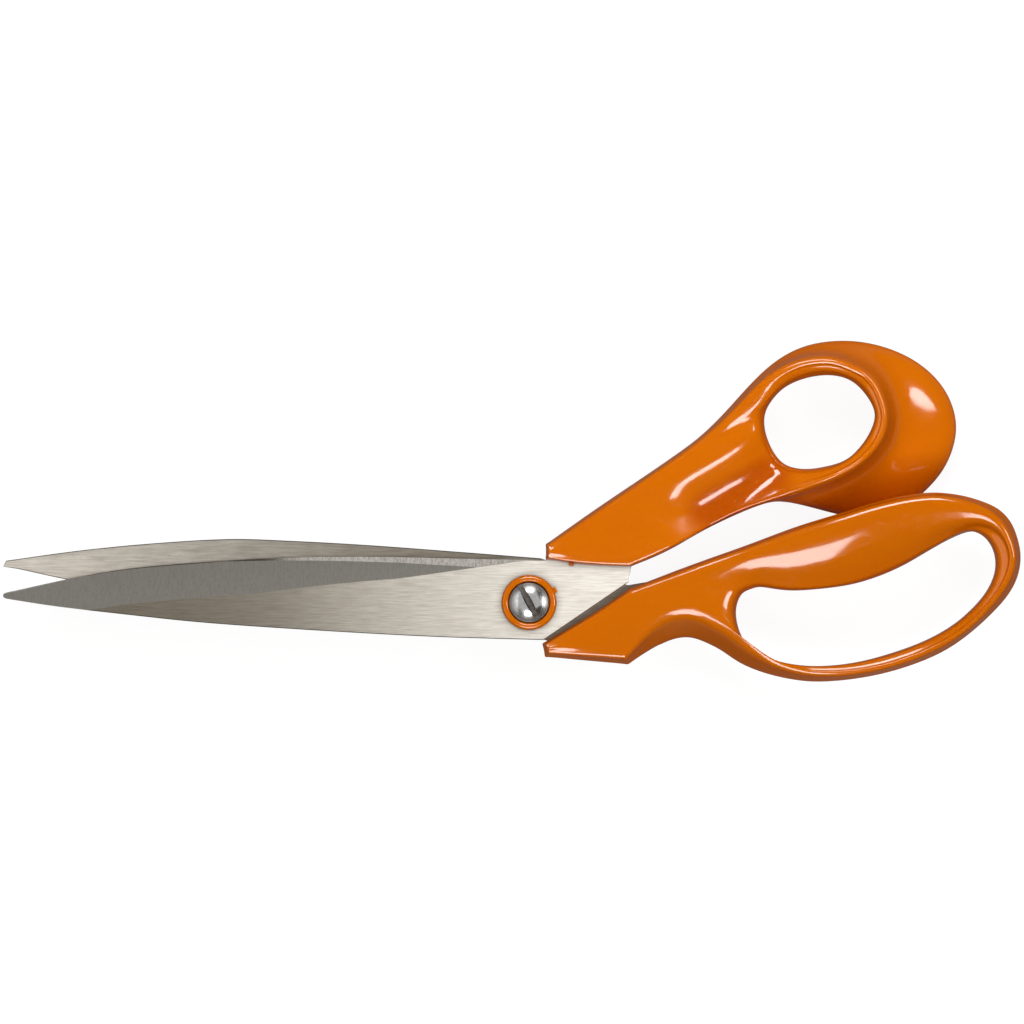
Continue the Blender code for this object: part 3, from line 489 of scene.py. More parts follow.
def side_rows(shape, places):
    """Rows 5 to 11 of the sections: from the front face's edge, round the side, to the rear face."""
    front = outline_points(span_curves(shape["front"], shape["corners"]), places)
    widest = outline_points(span_curves(shape["widest"], shape["corners"]), places)
    top, side, rear = tied(shape, places, "front_z", "widest_z", "rear_z")
    edge, inset, valley, flare = tied(shape, places, "edge", "rear_inset", "valley", "flare")
    valley_z, flare_z = tied(shape, places, "valley_z", "flare_z")
    front_in, widest_in = inward(front), inward(widest)
    rows = {
        5: (front + front_in * edge, top),
        6: (front, top - 0.3 * edge),
        7: (front + (widest - front) * valley, side + (top - side) * valley_z),
        8: (front + (widest - front) * flare, side + (top - side) * flare_z),
        9: (widest, side),
        10: (widest + widest_in * 0.35 * inset, rear + 0.3 * (side - rear)),
        11: (widest + widest_in * inset, rear),
    }
    return {k: np.hstack(row) for k, row in rows.items()}


def hole_rows(shape, places, crest, rear_edge):
    """Rows 12 to 14 and 0 to 4: in from the rear face, up through the hole and over the lip."""
    hole = outline_points(span_curves(shape["hole"], []), places)
    neck, lip, fall, mouth = tied(shape, places, "neck_z", "lip", "fall", "mouth")
    out, rear_out = crest[:, :2] - hole, rear_edge[:, :2] - hole
    width = norm(out, axis=1, keepdims=True)
    rear_width = norm(rear_out, axis=1, keepdims=True)
    out, rear_out = out / width, rear_out / rear_width
    lip, mouth = np.minimum(lip, 0.8 * width), np.minimum(mouth, 0.6 * rear_width)
    top, rear = crest[:, 2:] - fall, rear_edge[:, 2:]
    wall = np.minimum(lip, 3.0)
    rows = {
        13: (hole + rear_out * mouth, rear),
        14: (hole + rear_out * 0.2 * mouth, rear + 0.45 * (neck - rear)),
        0: (hole, neck),
        1: (hole + out * 0.2 * lip, top - np.minimum(0.8 * wall, 0.6 * (top - neck))),
        2: (hole + out * 0.5 * lip, top - 0.25 * wall),
        3: (hole + out * 1.05 * lip, top),
    }
    rows = {k: np.hstack(row) for k, row in rows.items()}
    rows[12] = (rear_edge + rows[13]) / 2
    rows[4] = (crest + rows[3]) / 2
    rows[4][:, 2:] += 0.28 * fall
    return rows


def between(one, other, share, rise=0.0):
    point = one * (1 - share) + other * share
    point[2] += rise * 4 * share * (1 - share)
    return point


def handle_cage(shape):
    """Corner points and four-sided faces of a handle, with the share of smoothing each point resists."""
    ring = ring_places(shape)
    arm = arm_places(shape)
    total, root = len(shape["widest"]), shape["ring_ties"] - 1
    lower, upper = root + arm, total - arm
    sides = side_rows(shape, np.concatenate([ring, lower, upper[::-1]]))
    last = len(ring) - 1
    across = [c / ACROSS for c in range(1, ACROSS)]
    root_front = [between(sides[5][last], sides[5][0], c, CROWN) for c in across]
    root_rear = [between(sides[11][last], sides[11][0], c) for c in across]
    crest = np.vstack([sides[5][: last + 1]] + root_front)
    rear_edge = np.vstack([sides[11][: last + 1]] + root_rear)
    inner = hole_rows(shape, np.concatenate([ring, [root + 2 * c for c in across]]), crest, rear_edge)
    points, index, faces = [], {}, []

    def put(key, point):
        index[key] = len(points)
        points.append(point)

    for i in range(last + ACROSS):
        for k, row in inner.items():
            put(("ring", i, k), row[i])
        put(("ring", i, 5), crest[i])
        put(("ring", i, 11), rear_edge[i])
    for i in range(last + 1):
        for k in (6, 7, 8, 9, 10):
            put(("ring", i, k), sides[k][i])
    end = len(arm) - 1
    for j in range(len(arm)):
        for k in range(5, 12):
            low, high = sides[k][last + 1 + j], sides[k][-1 - j]
            columns = range(ACROSS + 1) if k in (5, 11) or j == end else (0, ACROSS)
            for c in columns:
                put(("arm", j, k, c), between(low, high, c / ACROSS, CROWN if k == 5 else 0.0))

    def ring_point(i, k):
        return index["ring", i % (last + ACROSS), k % ROWS]

    def arm_point(j, k, c):
        return index["arm", j, k, c] if j >= 0 else ring_point(last + c, k)

    def patch(point_at, *keys):
        faces.append(tuple(point_at(*key) for key in keys))

    for i in range(last + ACROSS):
        rows = range(ROWS) if i < last else (11, 12, 13, 14, 0, 1, 2, 3, 4)
        for k in rows:
            patch(ring_point, (i, k), (i + 1, k), (i + 1, k + 1), (i, k + 1))
    for j in range(-1, end):
        for k in (5, 11):
            for c in range(ACROSS):
                patch(arm_point, (j, k, c), (j + 1, k, c), (j + 1, k, c + 1), (j, k, c + 1))
        for c in (0, ACROSS):
            for k in range(5, 11):
                patch(arm_point, (j, k, c), (j + 1, k, c), (j + 1, k + 1, c), (j, k + 1, c))
    for k in range(5, 11):
        for c in range(ACROSS):
            patch(arm_point, (end, k, c), (end, k, c + 1), (end, k + 1, c + 1), (end, k + 1, c))
    firm = np.array([1.0 if key[2] in (0, 9) else 0.6 for key in index])
    return np.array(points), faces, firm


def smoothed(bm, places):
    """Where a smoothed closed surface settles for each corner point."""
    settled = np.empty_like(places)
    for v in bm.verts:
        n = len(v.link_edges)
        near = sum(places[e.other_vert(v).index] for e in v.link_edges)
        around = {e.other_vert(v).index for e in v.link_edges} | {v.index}
        far = sum(places[w.index] for f in v.link_faces for w in f.verts if w.index not in around)
        settled[v.index] = (n * n * places[v.index] + 4 * near + far) / (n * (n + 5))
    return settled


def handle(name, shape, finish):
    """A smooth closed handle whose surface runs through the outlines."""
    points, faces, firm = handle_cage(shape)
    mesh = bpy.data.meshes.new(name)
    mesh.from_pydata((points * MM).tolist(), [], faces)
    bm = bmesh.new()
    bm.from_mesh(mesh)
    bm.verts.ensure_lookup_table()
    bmesh.ops.recalc_face_normals(bm, faces=bm.faces)
    bm.normal_update()
    normals = np.array([v.normal for v in bm.verts])
    places = points.copy()
    for _ in range(3):
        short = np.sum((points - smoothed(bm, places)) * normals, axis=1)
        places += normals * (short * firm)[:, None]
    for v in bm.verts:
        v.co = places[v.index] * MM
    bm.to_mesh(mesh)
    bm.free()
    made = add_object(name, mesh, finish)
    smoothing = made.modifiers.new("smoothing", "SUBSURF")
    smoothing.levels = smoothing.render_levels = HANDLE_LEVEL
    return made


# ---- Node trees ----
class Graph:
    """A node tree being built: each method adds nodes and gives back an output."""

    def __init__(self, tree):
        self.tree = tree
        tree.nodes.clear()

    def put(self, kind, inputs=None, **settings):
        """Adds a node and gives back its outputs; each input is a value or another node's output."""
        node = self.tree.nodes.new(f"ShaderNode{kind}")
        for key, value in settings.items():
            setattr(node, key, value)
        for key, value in (inputs or {}).items():
            if isinstance(value, bpy.types.NodeSocket):
                self.tree.links.new(value, node.inputs[key])
            else:
                node.inputs[key].default_value = value
        return node.outputs

    def space(self, shift=0.0):
        """The piece's own coordinates, shifted so that no two pieces share their marks."""
        own = self.put("TexCoord")["Object"]
        return self.put("Mapping", {"Vector": own, "Location": (shift, 0, 0)})[0]

    def part(self, vector, axis):
        return self.put("SeparateXYZ", {0: vector})[axis]

    def facing(self):
        """How far the surface faces straight up, 1 to -1."""
        return self.part(self.put("NewGeometry")["Normal"], 2)

    def math(self, operation, a, b=0.0):
        return self.put("Math", {0: a, 1: b}, operation=operation)[0]

    def times(self, a, b):
        return self.math("MULTIPLY", a, b)

    def plus(self, a, b):
        return self.math("ADD", a, b)

    def most(self, a, b):
        return self.math("MAXIMUM", a, b)

    def mix(self, factor, a, b):
        """A mix of two colours."""
        return self.put("Mix", {0: factor, 6: a, 7: b}, data_type="RGBA")[2]

    def blend(self, factor, a, b):
        """A mix of two numbers."""
        return self.put("Mix", {0: factor, 2: a, 3: b}, data_type="FLOAT")[0]

    def ramp(self, value, low, high, to_low=0.0, to_high=1.0, smooth=False):
        """The value's range low..high spread over to_low..to_high, clamped."""
        inputs = {0: value, 1: low, 2: high, 3: to_low, 4: to_high}
        kind = "SMOOTHSTEP" if smooth else "LINEAR"
        return self.put("MapRange", inputs, interpolation_type=kind)[0]

    def noise(self, vector, scale, detail=3.0, rough=0.55, distortion=0.0):
        inputs = {"Vector": vector, "Scale": scale, "Detail": detail, "Roughness": rough}
        return self.put("TexNoise", inputs | {"Distortion": distortion})[0]

    def grain(self, vector, size, turn=0.0, detail=2.0, rough=0.6, distortion=0.0):
        """Noise drawn out to a length, width and height in metres, turned beforehand about Z."""
        turned_to = self.put("Mapping", {"Vector": vector, "Rotation": (0.0, 0.0, turn)})[0]
        drawn = self.put("Mapping", {"Vector": turned_to, "Scale": [1 / s for s in size]})[0]
        return self.noise(drawn, 1.0, detail, rough, distortion)

    def scratches(self, space, marks):
        """Sparse fine scratches, each (turn, length, width, threshold): thin crests of drawn-out noise."""
        total = 0.0
        for turn, length, width, low in marks:
            line = self.ramp(self.grain(space, (length, width, 0.01), turn, 2.0, 0.4), low, low + 0.03)
            total = line if total == 0.0 else self.most(total, line)
        return total

    def shade(self, distance):
        """Openness of the surroundings within a distance: 0 deep in a corner, 1 in the open."""
        return self.put("AmbientOcclusion", {"Distance": distance}, samples=6)["AO"]

    def sharp_edges(self, radius):
        """1 on edges sharper than the radius, 0 on open faces."""
        rounded = self.put("Bevel", {"Radius": radius}, samples=4)[0]
        flat = self.put("NewGeometry")["Normal"]
        same = self.put("VectorMath", {0: rounded, 1: flat}, operation="DOT_PRODUCT")["Value"]
        return self.ramp(same, 0.995, 0.90)

    def bump(self, *layers):
        """Bumps laid over one another, each (height, metres for height 1, strength)."""
        under = {}
        for height, depth, strength in layers:
            inputs = {"Strength": strength, "Distance": depth, "Height": height}
            under = {"Normal": self.put("Bump", inputs | under)[0]}
        return under["Normal"]

    def surface(self, **inputs):
        """The Principled shader and the output."""
        names = {key.replace("_", " "): value for key, value in inputs.items()}
        self.put("OutputMaterial", {"Surface": self.put("BsdfPrincipled", names)[0]})


def new_material(name):
    made = bpy.data.materials.new(name)
    made.use_nodes = True
    return made, Graph(made.node_tree)


# ---- Materials ----
ORANGE = (0.68, 0.153, 0, 1)
ORANGE_FLOW = (0.64, 0.138, 0, 1)
# colour of the painted shade on the orange plastic
ORANGE_SHADED = (0.33, 0.016, 0, 1)
ORANGE_WORN = (0.74, 0.2, 0.006, 1)
STEEL_LIGHT = (0.68, 0.66, 0.625, 1)
STEEL_BROWN = (0.36, 0.325, 0.285, 1)
STEEL_GROUND = (0.44, 0.43, 0.41, 1)
POLISHED = (0.74, 0.75, 0.77, 1)
# dark brown for real specks and pits, also used for painted shade
GRIME_AND_SHADE = (0.1, 0.07, 0.05, 1)


def moulded_plastic(name, shift):
    """Glossy moulded orange plastic: faint flow marks, skin texture, handling scratches, worn edges and
    painted shade.
    """
    made, g = new_material(name)
    space = g.space(shift)
    flow = g.grain(space, (0.05, 0.018, 0.02), 0, 3, 0.5, 0.4)
    cloud = g.noise(space, 900, 3, 0.6)
    skin = g.noise(space, 1500, 2, 0.5)
    soft = g.noise(space, 160, 2, 0.5)
    specks = g.ramp(g.noise(space, 2600, 1, 0.5), 0.735, 0.76)
    marks = [(0.4, 0.012, 0.00012, 0.7), (-0.6, 0.009, 0.0001, 0.71), (1.3, 0.007, 0.0001, 0.72)]
    scratch = g.scratches(space, marks)
    crest = g.put("NewGeometry")["Pointiness"]
    worn = g.times(g.ramp(crest, 0.53, 0.62), g.ramp(cloud, 0.4, 0.6))

    # Painted shade: the colour is mixed towards a shaded orange on steep sides, in corners found by
    # occlusion, in the thumb rest's bay and low under the thumb ring's flare.
    facing = g.facing()
    own = g.space()
    low = g.ramp(g.part(own, 2), (MIDDLE + 0.5) * MM, (MIDDLE - 6) * MM, 0, 0.75)
    steep = g.ramp(facing, 0.75, 0.1, 0, 0.22)
    painted_shade = g.most(steep, g.ramp(g.shade(0.01), 0.55, 0.18, 0, 0.7))
    painted_shade = g.most(painted_shade, g.times(low, g.ramp(g.part(own, 1), 0.04, 0.026)))
    bay = g.put("Attribute", attribute_name="bay")["Fac"]
    colour = g.mix(g.ramp(flow, 0.3, 0.7), ORANGE, ORANGE_FLOW)
    # painted shade in the thumb rest's bay, by its depth
    colour = g.mix(g.ramp(bay, 0.45, 1, 0, 0.55, smooth=True), colour, ORANGE_SHADED)
    colour = g.mix(painted_shade, colour, ORANGE_SHADED)
    colour = g.mix(g.ramp(cloud, 0.35, 0.75, 0, 0.12), colour, ORANGE_WORN)
    colour = g.mix(g.times(worn, 0.35), colour, ORANGE_WORN)
    colour = g.mix(g.times(specks, 0.35), colour, GRIME_AND_SHADE)

    rough = g.plus(g.ramp(skin, 0.25, 0.75, 0.07, 0.13), g.times(worn, 0.12))
    rough = g.plus(rough, g.times(scratch, 0.15))
    normal = g.bump((soft, 0.0001, 0.25), (skin, 0.000012, 0.35), (scratch, 0.00001, 0.25))
    shine = g.ramp(facing, 0.85, 0.45, 0.78, 0.03)
    g.surface(Base_Color=colour, Roughness=rough, Normal=normal, IOR=1.5, Specular_IOR_Level=shine)
    return made


def ground_steel(name, shift, stain):
    """Blade steel: flats brushed along the blade, ground faces marked across it, bright worn edges, and
    painted shade where other parts close in.

    stain scales the specks and blotches left on the steel.
    """
    made, g = new_material(name)
    space = g.space(shift)
    level = g.math("ABSOLUTE", g.facing())
    ground = g.ramp(level, 0.99, 0.975)
    honed = g.ramp(level, 0.85, 0.75)

    brushed = g.blend(0.6, g.grain(space, (0.012, 0.00045, 0.01)), g.grain(space, (0.005, 0.00024, 0.01)))
    across = g.grain(space, (0.0005, 0.003, 0.01), 0.1)
    across = g.blend(0.5, across, g.grain(space, (0.00035, 0.0009, 0.01), 0.1))
    marks = g.blend(ground, brushed, across)
    blotch = g.noise(space, 260, 5, 0.65, 0.2)
    specks = g.ramp(g.noise(space, 1500, 1, 0.5), 0.765, 0.79)
    scratch = g.scratches(space, [(0.25, 0.014, 0.0001, 0.72), (-0.9, 0.007, 0.00008, 0.74)])

    colour = g.mix(ground, STEEL_LIGHT, STEEL_GROUND)
    colour = g.mix(honed, colour, STEEL_LIGHT)
    dark = g.times(g.ramp(marks, 0.4, 0.58, 1, 0), g.ramp(ground, 0, 1, 0.42, 0.62))
    colour = g.mix(dark, colour, STEEL_BROWN)
    colour = g.mix(g.ramp(blotch, 0.45, 0.75, 0, 0.16 * stain), colour, STEEL_BROWN)
    # Painted shade: the colour darkens where the surroundings close in, as along the other blade's edge and
    # round the bush.
    colour = g.mix(g.ramp(g.shade(0.0022), 0.92, 0.55, 0, 0.5), colour, GRIME_AND_SHADE)
    colour = g.mix(g.times(specks, 0.7 * stain), colour, GRIME_AND_SHADE)
    colour = g.mix(g.times(g.sharp_edges(0.00022), 0.6), colour, POLISHED)

    rough = g.plus(g.ramp(marks, 0.25, 0.75, 0.34, 0.26), g.ramp(blotch, 0.4, 0.8, 0, 0.06 * stain))
    rough = g.math("SUBTRACT", rough, g.times(honed, 0.1))
    rough = g.plus(rough, g.times(scratch, 0.12))
    normal = g.bump((marks, 0.000016, 0.6), (scratch, 0.000004, 0.3))
    along, sideways = (0, 1, 0), (1, 0, 0)
    way = g.put("Mix", {0: ground, 4: along, 5: sideways}, data_type="VECTOR")[1]
    spaces = {"vector_type": "VECTOR", "convert_from": "OBJECT", "convert_to": "WORLD"}
    way = g.put("VectorTransform", {0: way}, **spaces)[0]
    look = {"Base_Color": colour, "Roughness": rough, "Normal": normal}
    g.surface(Metallic=1, Anisotropic=0.6, Tangent=way, **look)
    return made


def polished_steel(name, rough_low, rough_high, slot_below=None):
    """Turned and polished steel with fine circular marks; darker and rougher below the height slot_below.
    """
    made, g = new_material(name)
    space = g.space()
    flat = g.put("VectorMath", {0: space, 1: (1, 1, 0)}, operation="MULTIPLY")[0]
    radius = g.put("VectorMath", {0: flat}, operation="LENGTH")["Value"]
    lathe = g.noise(g.put("CombineXYZ", {0: radius})[0], 5200, 3, 0.6)
    cloud = g.noise(space, 700, 3, 0.6)
    pits = g.ramp(g.noise(space, 2400, 2, 0.6), 0.68, 0.74)
    colour = g.mix(g.ramp(cloud, 0.35, 0.7, 0, 0.55), POLISHED, STEEL_GROUND)
    colour = g.mix(g.times(pits, 0.5), colour, GRIME_AND_SHADE)
    rough = g.ramp(cloud, 0.3, 0.7, rough_low, rough_high)
    if slot_below is not None:
        # Below the height slot_below the colour goes darker and the surface rougher.
        low = g.ramp(g.part(space, 2), slot_below, slot_below - 0.0008)
        slot_darkening = g.times(low, g.ramp(cloud, 0.35, 0.6, 0.97, 0.72))
        colour = g.mix(slot_darkening, colour, GRIME_AND_SHADE)
        rough = g.plus(rough, g.times(slot_darkening, 0.45))
    normal = g.bump((lathe, 0.000004, 0.35), (cloud, 0.00002, 0.2))
    g.surface(Base_Color=colour, Metallic=1, Roughness=rough, Normal=normal, Anisotropic=0.2)
    return made


# ---- Visible blades ----
def fine_blade(name, outline, edge, side, bore, anchors, finish, node, body):
    """A ground blade with broken edges, its pivot bore and its anchor holes."""
    low, high = sorted((side * BLADE_IN, side * BLADE_OUT))
    made = solid(name, plate, outline, low, high, EDGE_BREAK, finish=finish)
    boolean(made, grinding_cutter(f"{name}_grinding", edge, side))

    def holes(bm):
        rod(bm, bore, low - 1, high + 1)
        for centre in anchors:
            rod(bm, ANCHOR_R, low - 1, high + 1, centre, sides=48)

    boolean(made, solid(f"{name}_holes", holes))
    settle(made, 8, node, body)


# ---- Visible handles ----
# The thumb rest: the arm's face rolls down into a shallow bay beside the thumb hole. Places are counted
# along a line at REST_TURN through REST_AT, and across it towards the arm's upper side.
REST_AT = (48.5, 32.1)
REST_TURN = radians(31)
REST_BEGINS = (-21, -4)
REST_ENDS = (13, 30)
REST_WALL = (-5.6, 6.2)  # foot and top of the slope
REST_DEPTH = 3.3
REST_LIP = (-12, -7, 0.6)  # the bay's outer side rises again: from, to, height
REST_REGION = (34, 72, 18, 54)  # plan range of the finer faces


def smooth(value, low, high):
    share = np.clip((value - low) / (high - low), 0, 1)
    return share * share * (3 - 2 * share)


def rest_depth(plan):
    """Depth of the thumb rest at plan points."""
    off = plan - REST_AT
    along = off[:, 0] * cos(REST_TURN) + off[:, 1] * sin(REST_TURN)
    across = off[:, 1] * cos(REST_TURN) - off[:, 0] * sin(REST_TURN)
    low, high, lip = REST_LIP
    depth = REST_DEPTH * (1 - smooth(across, *REST_WALL)) - lip * (1 - smooth(across, low, high))
    return depth * smooth(along, *REST_BEGINS) * (1 - smooth(along, *REST_ENDS))


def press_thumb_rest(made):
    """Presses the thumb rest into the front side, on finer faces."""
    mesh = baked(made)
    bm = bmesh.new()
    bm.from_mesh(mesh)
    bm.normal_update()
    x0, x1, y0, y1 = (v * MM for v in REST_REGION)
    edges = set()
    for face in bm.faces:
        centre = face.calc_center_median()
        if x0 < centre.x < x1 and y0 < centre.y < y1 and face.normal.z > 0.15:
            edges.update(face.edges)
    edges = sorted(edges, key=lambda edge: edge.index)
    bmesh.ops.subdivide_edges(bm, edges=edges, cuts=2, use_grid_fill=True, smooth=0)
    bm.normal_update()
    # share of the rest's depth, later used for painted shade in the bay
    bay = bm.verts.layers.float.new("bay")
    plan = np.array([vert.co.to_2d() for vert in bm.verts]) / MM
    for vert, depth in zip(bm.verts, rest_depth(plan)):
        upper = min(max((vert.co.z / MM - 1) / 4, 0), 1)
        facing = min(max(vert.normal.z + 0.6, 0), 1)
        vert.co.z -= depth * upper * facing * MM
        vert[bay] = depth / REST_DEPTH
    bm.to_mesh(mesh)
    bm.free()
    mesh.update()


def fine_handle(made, outline, side, anchors, node, body, *more):
    """Cuts the room for the tang out of a handle, puts on or cuts away what more it has, and settles it."""
    boolean(made, tang_cavity(f"{made.name}_cavity", outline, side, anchors))
    for tool, operation in more:
        boolean(made, tool, operation)
    settle(made, 40, node, body)


def nub(bm):
    box(bm, NUB_SIZE, NUB_AT, NUB_TURN)
    bmesh.ops.bevel(bm, geom=bm.edges[:], offset=0.3 * MM, segments=3, profile=0.6, affect="EDGES")


# ---- Visible pivot ----
HEAD_SEAT = BLADE_OUT + 0.9  # height of the screw head's underside
HEAD_RIM = 0.9  # height of the head's upright rim
DOME_R = 12  # radius of the head's domed top
RIM_ROUND = 0.3
THREAD_TURNS = 6
THREAD_PITCH = 0.7
THREAD_DEPTH = 0.32
SLOT_LIP = 0.28  # width of the chamfer along the slot
SLOT_LIP_DEPTH = 0.42
WASHER_R = 5.6
WASHER_DISH = 0.25
KEY_SIZE = (1.2, 1.5, 0.9)  # small key on the bush's flange
KEY_TURN = radians(26)


def fine_screw(finish):
    """Domed slotted screw: rounded rim, chamfered slot, shank and ringed thread."""
    rim = HEAD_SEAT + HEAD_RIM
    dome_edge = HEAD_R - RIM_ROUND
    dome_low = rim + 0.25 - sqrt(DOME_R**2 - dome_edge**2)
    dome = [(r, dome_low + sqrt(DOME_R**2 - r**2)) for r in np.linspace(dome_edge, 0.25, 24)]
    top = dome[-1][1]
    shoulder = -BLADE_IN + 0.2
    profile = [(0, SCREW_END), (THREAD_R - 0.6, SCREW_END)]
    for k in range(THREAD_TURNS):
        z = SCREW_END + 0.5 + k * THREAD_PITCH
        ring = [(THREAD_R - THREAD_DEPTH, z), (THREAD_R, z + 0.28), (THREAD_R, z + 0.42)]
        profile += [(r, z) for r, z in ring if z < shoulder - 0.3]
    profile += [(THREAD_R, shoulder), (SHANK_R, shoulder + 0.2), (SHANK_R, HEAD_SEAT)]
    profile += [(HEAD_R - 0.1, HEAD_SEAT), (HEAD_R, HEAD_SEAT + 0.1)]
    profile += arc((dome_edge, rim - 0.03), RIM_ROUND, 0, 62, 5) + dome + [(0, top)]
    made = solid("tension_screw", turned, profile, finish=finish)

    def slot(bm):
        half, reach = SLOT_WIDTH / 2, 2 * HEAD_R
        wide = half + SLOT_LIP
        low, lip = top - SLOT_DEPTH, top - SLOT_LIP_DEPTH
        section = [(-half, low), (half, low), (half, lip), (wide, top + 0.02)]
        section += [(wide, top + 1), (-wide, top + 1), (-wide, top + 0.02), (-half, lip)]
        loft(bm, [[(x, y, z) for y, z in section] for x in (-reach, reach)])
        bmesh.ops.transform(bm, matrix=Matrix.Rotation(SLOT_ANGLE, 4, "Z"), verts=bm.verts)

    boolean(made, solid("slot", slot))
    settle(made, 25, "pivot_screw", "tension_screw")


def fine_bush(finish):
    """Flanged plastic bush with a well-rounded flange and its key."""
    floor = BLADE_OUT + PART_GAP
    top = floor + FLANGE_HEIGHT
    seat = HEAD_SEAT - PART_GAP
    bore = SHANK_R + PART_GAP
    head_room = HEAD_R + 0.2
    profile = [(bore, BLADE_IN + 0.2), (SLEEVE_R, BLADE_IN + 0.2), (SLEEVE_R, floor)]
    profile += [(FLANGE_R - 0.15, floor), (FLANGE_R, floor + 0.15)]
    profile += arc((FLANGE_R - 0.85, top - 0.85), 0.85, 0, 90, 14)
    profile += arc((head_room + 0.55, top - 0.55), 0.55, 90, 180, 10) + [(head_room, seat), (bore, seat)]
    made = solid("bush", turned, profile, finish=finish)
    out = FLANGE_R + 0.1
    spot = (out * cos(KEY_TURN), out * sin(KEY_TURN), floor + KEY_SIZE[2] / 2)
    boolean(made, solid("key", box, KEY_SIZE, spot, KEY_TURN), "UNION")
    settle(made, 32, "pivot_bush", "thumb_half")


def fine_washer(finish):
    """Dished spring washer with rounded rims."""
    top = -(BLADE_OUT + PART_GAP)
    low = top - WASHER_THICKNESS
    inner, outer, dish = THREAD_R + 0.3, WASHER_R, WASHER_DISH
    profile = [(inner + 0.15, low), (outer - 0.2, low + dish), (outer, low + dish + 0.2)]
    profile += [(outer, top - 0.15), (outer - 0.15, top), (inner + 0.1, top - dish)]
    profile += [(inner, top - dish - 0.1), (inner, low + 0.15)]
    made = solid("washer", turned, profile, finish=finish)
    settle(made, 30, "spring_washer", "finger_half")


def fine_nut(finish):
    """Thin hexagonal nut, its corners turned off on the outer face, with a countersunk bore."""
    top = -(BLADE_OUT + WASHER_THICKNESS + 2 * PART_GAP)
    low = top - NUT_HEIGHT
    corner, flat = NUT_ACROSS_FLATS / sqrt(3), NUT_ACROSS_FLATS / 2
    bore = THREAD_R + PART_GAP
    made = solid("nut", rod, corner, low, top, (0, 0), 6, finish=finish)
    turning = [(flat - 0.1, low - 0.1), (corner + 1, low - 0.1), (corner + 1, low + 0.75)]
    boolean(made, solid("nut_turning", turned, turning))
    hollow = [(0, low - 1), (bore + 1.3, low - 1), (bore + 0.3, low), (bore, low + 0.35)]
    hollow += [(bore, top + 1), (0, top + 1)]
    boolean(made, solid("nut_bore", turned, hollow))
    settle(made, 20, "lock_nut", "finger_half")


# ---- Studio ----
STEEL = ["blade_front", "blade_back", "tension_screw"]
SCREW = ["tension_screw"]
THUMB_RING = ["handle_thumb"]
# Brightness and warmth of the cards over the blades, at places along them in millimetres.
FRONT_CARD = [(-140, 0.12, 0.3), (-95, 0.2, 0.28), (-66, 0.28, 0.22), (-48, 0.68, 0.12)]
FRONT_CARD += [(-18, 1.16, 0.08), (15, 1.62, 0.06)]
BACK_CARD = [(-130, 1.12, 0.1), (-87, 0.72, 0.08), (-55, 0.5, 0.14), (-25, 0.4, 0.2)]
CARD_SPAN = (-200, 80)
CARD_DEPTH = 95
CARD_AT = (4, 120)  # place across the blades, and height
FLOOR_HALF = 3
FLOOR_GAP = 0.0003
FLOOR_SHEEN = (1, 0.84, 0.7, 1)  # tint of the floor as seen in polished surfaces
FLOOR_SEEN, FLOOR_GLOW, FLOOR_GLOSS = 0.93, 0.32, 0.17  # glow to the camera, as light, in reflections
ROOM_LOW = (0.08, 0.06, 0.04, 1)
ROOM_HIGH = (0.045, 0.035, 0.018, 1)
VIEW_WIDTH = 271.86
VIEW_CENTRE = (-4.513, 24.03)


def area_lamp(name, width, height, radiance, lights=(), spares=()):
    """A rectangular lamp hidden from the camera; it lights only some pieces, or spares some."""
    data = bpy.data.lights.new(name, "AREA")
    data.shape = "RECTANGLE"
    data.size, data.size_y = width, height
    data.energy = radiance * pi * width * height
    lamp = add_object(name, data)
    lamp.visible_camera = False
    if lights or spares:
        listed = bpy.data.collections.new(name)
        for piece in lights or spares:
            listed.objects.link(bpy.data.objects[piece])
        if spares:
            for entry in listed.collection_objects:
                entry.light_linking.link_state = "EXCLUDE"
        lamp.light_linking.receiver_collection = listed
    return lamp


def softbox(name, tilt, bearing, width, height, radiance, shift=0, distance=0.9, **reach):
    """A lamp seen from the pivot at a tilt from upright and a bearing from +X, in degrees."""
    lamp = area_lamp(name, width, height, radiance, **reach)
    tilt, bearing = radians(tilt), radians(bearing)
    way = Vector((sin(tilt) * cos(bearing), sin(tilt) * sin(bearing), cos(tilt)))
    sideways = Vector((0, 0, 1)).cross(way).normalized()
    turn = Matrix((sideways, way.cross(sideways), way)).transposed().to_4x4()
    lamp.matrix_world = Matrix.Translation(way * distance + sideways * shift) @ turn
    return lamp


def blade_card(name, piece, stops):
    """A card close over one blade, graded along the blade, seen only as a reflection."""
    left, right = CARD_SPAN
    lamp = area_lamp(name, (right - left) * MM, CARD_DEPTH * MM, 1, lights=[piece])
    lamp.location = ((left + right) / 2 * MM, CARD_AT[0] * MM, CARD_AT[1] * MM)
    lamp.visible_diffuse = False
    lamp.data.use_nodes = True
    g = Graph(lamp.data.node_tree)
    graded = g.put("ValToRGB", {0: g.part(g.put("NewGeometry")["Parametric"], 0)})[0]
    entries = graded.node.color_ramp.elements
    while len(entries) < len(stops):
        entries.new(1)
    for entry, (x, level, warmth) in zip(entries, stops):
        entry.position = (x - left) / (right - left)
        entry.color = (level, level * (1 - 0.4 * warmth), level * (1 - warmth), 1)
    g.put("OutputLight", {"Surface": g.put("Emission", {"Color": graded})[0]})


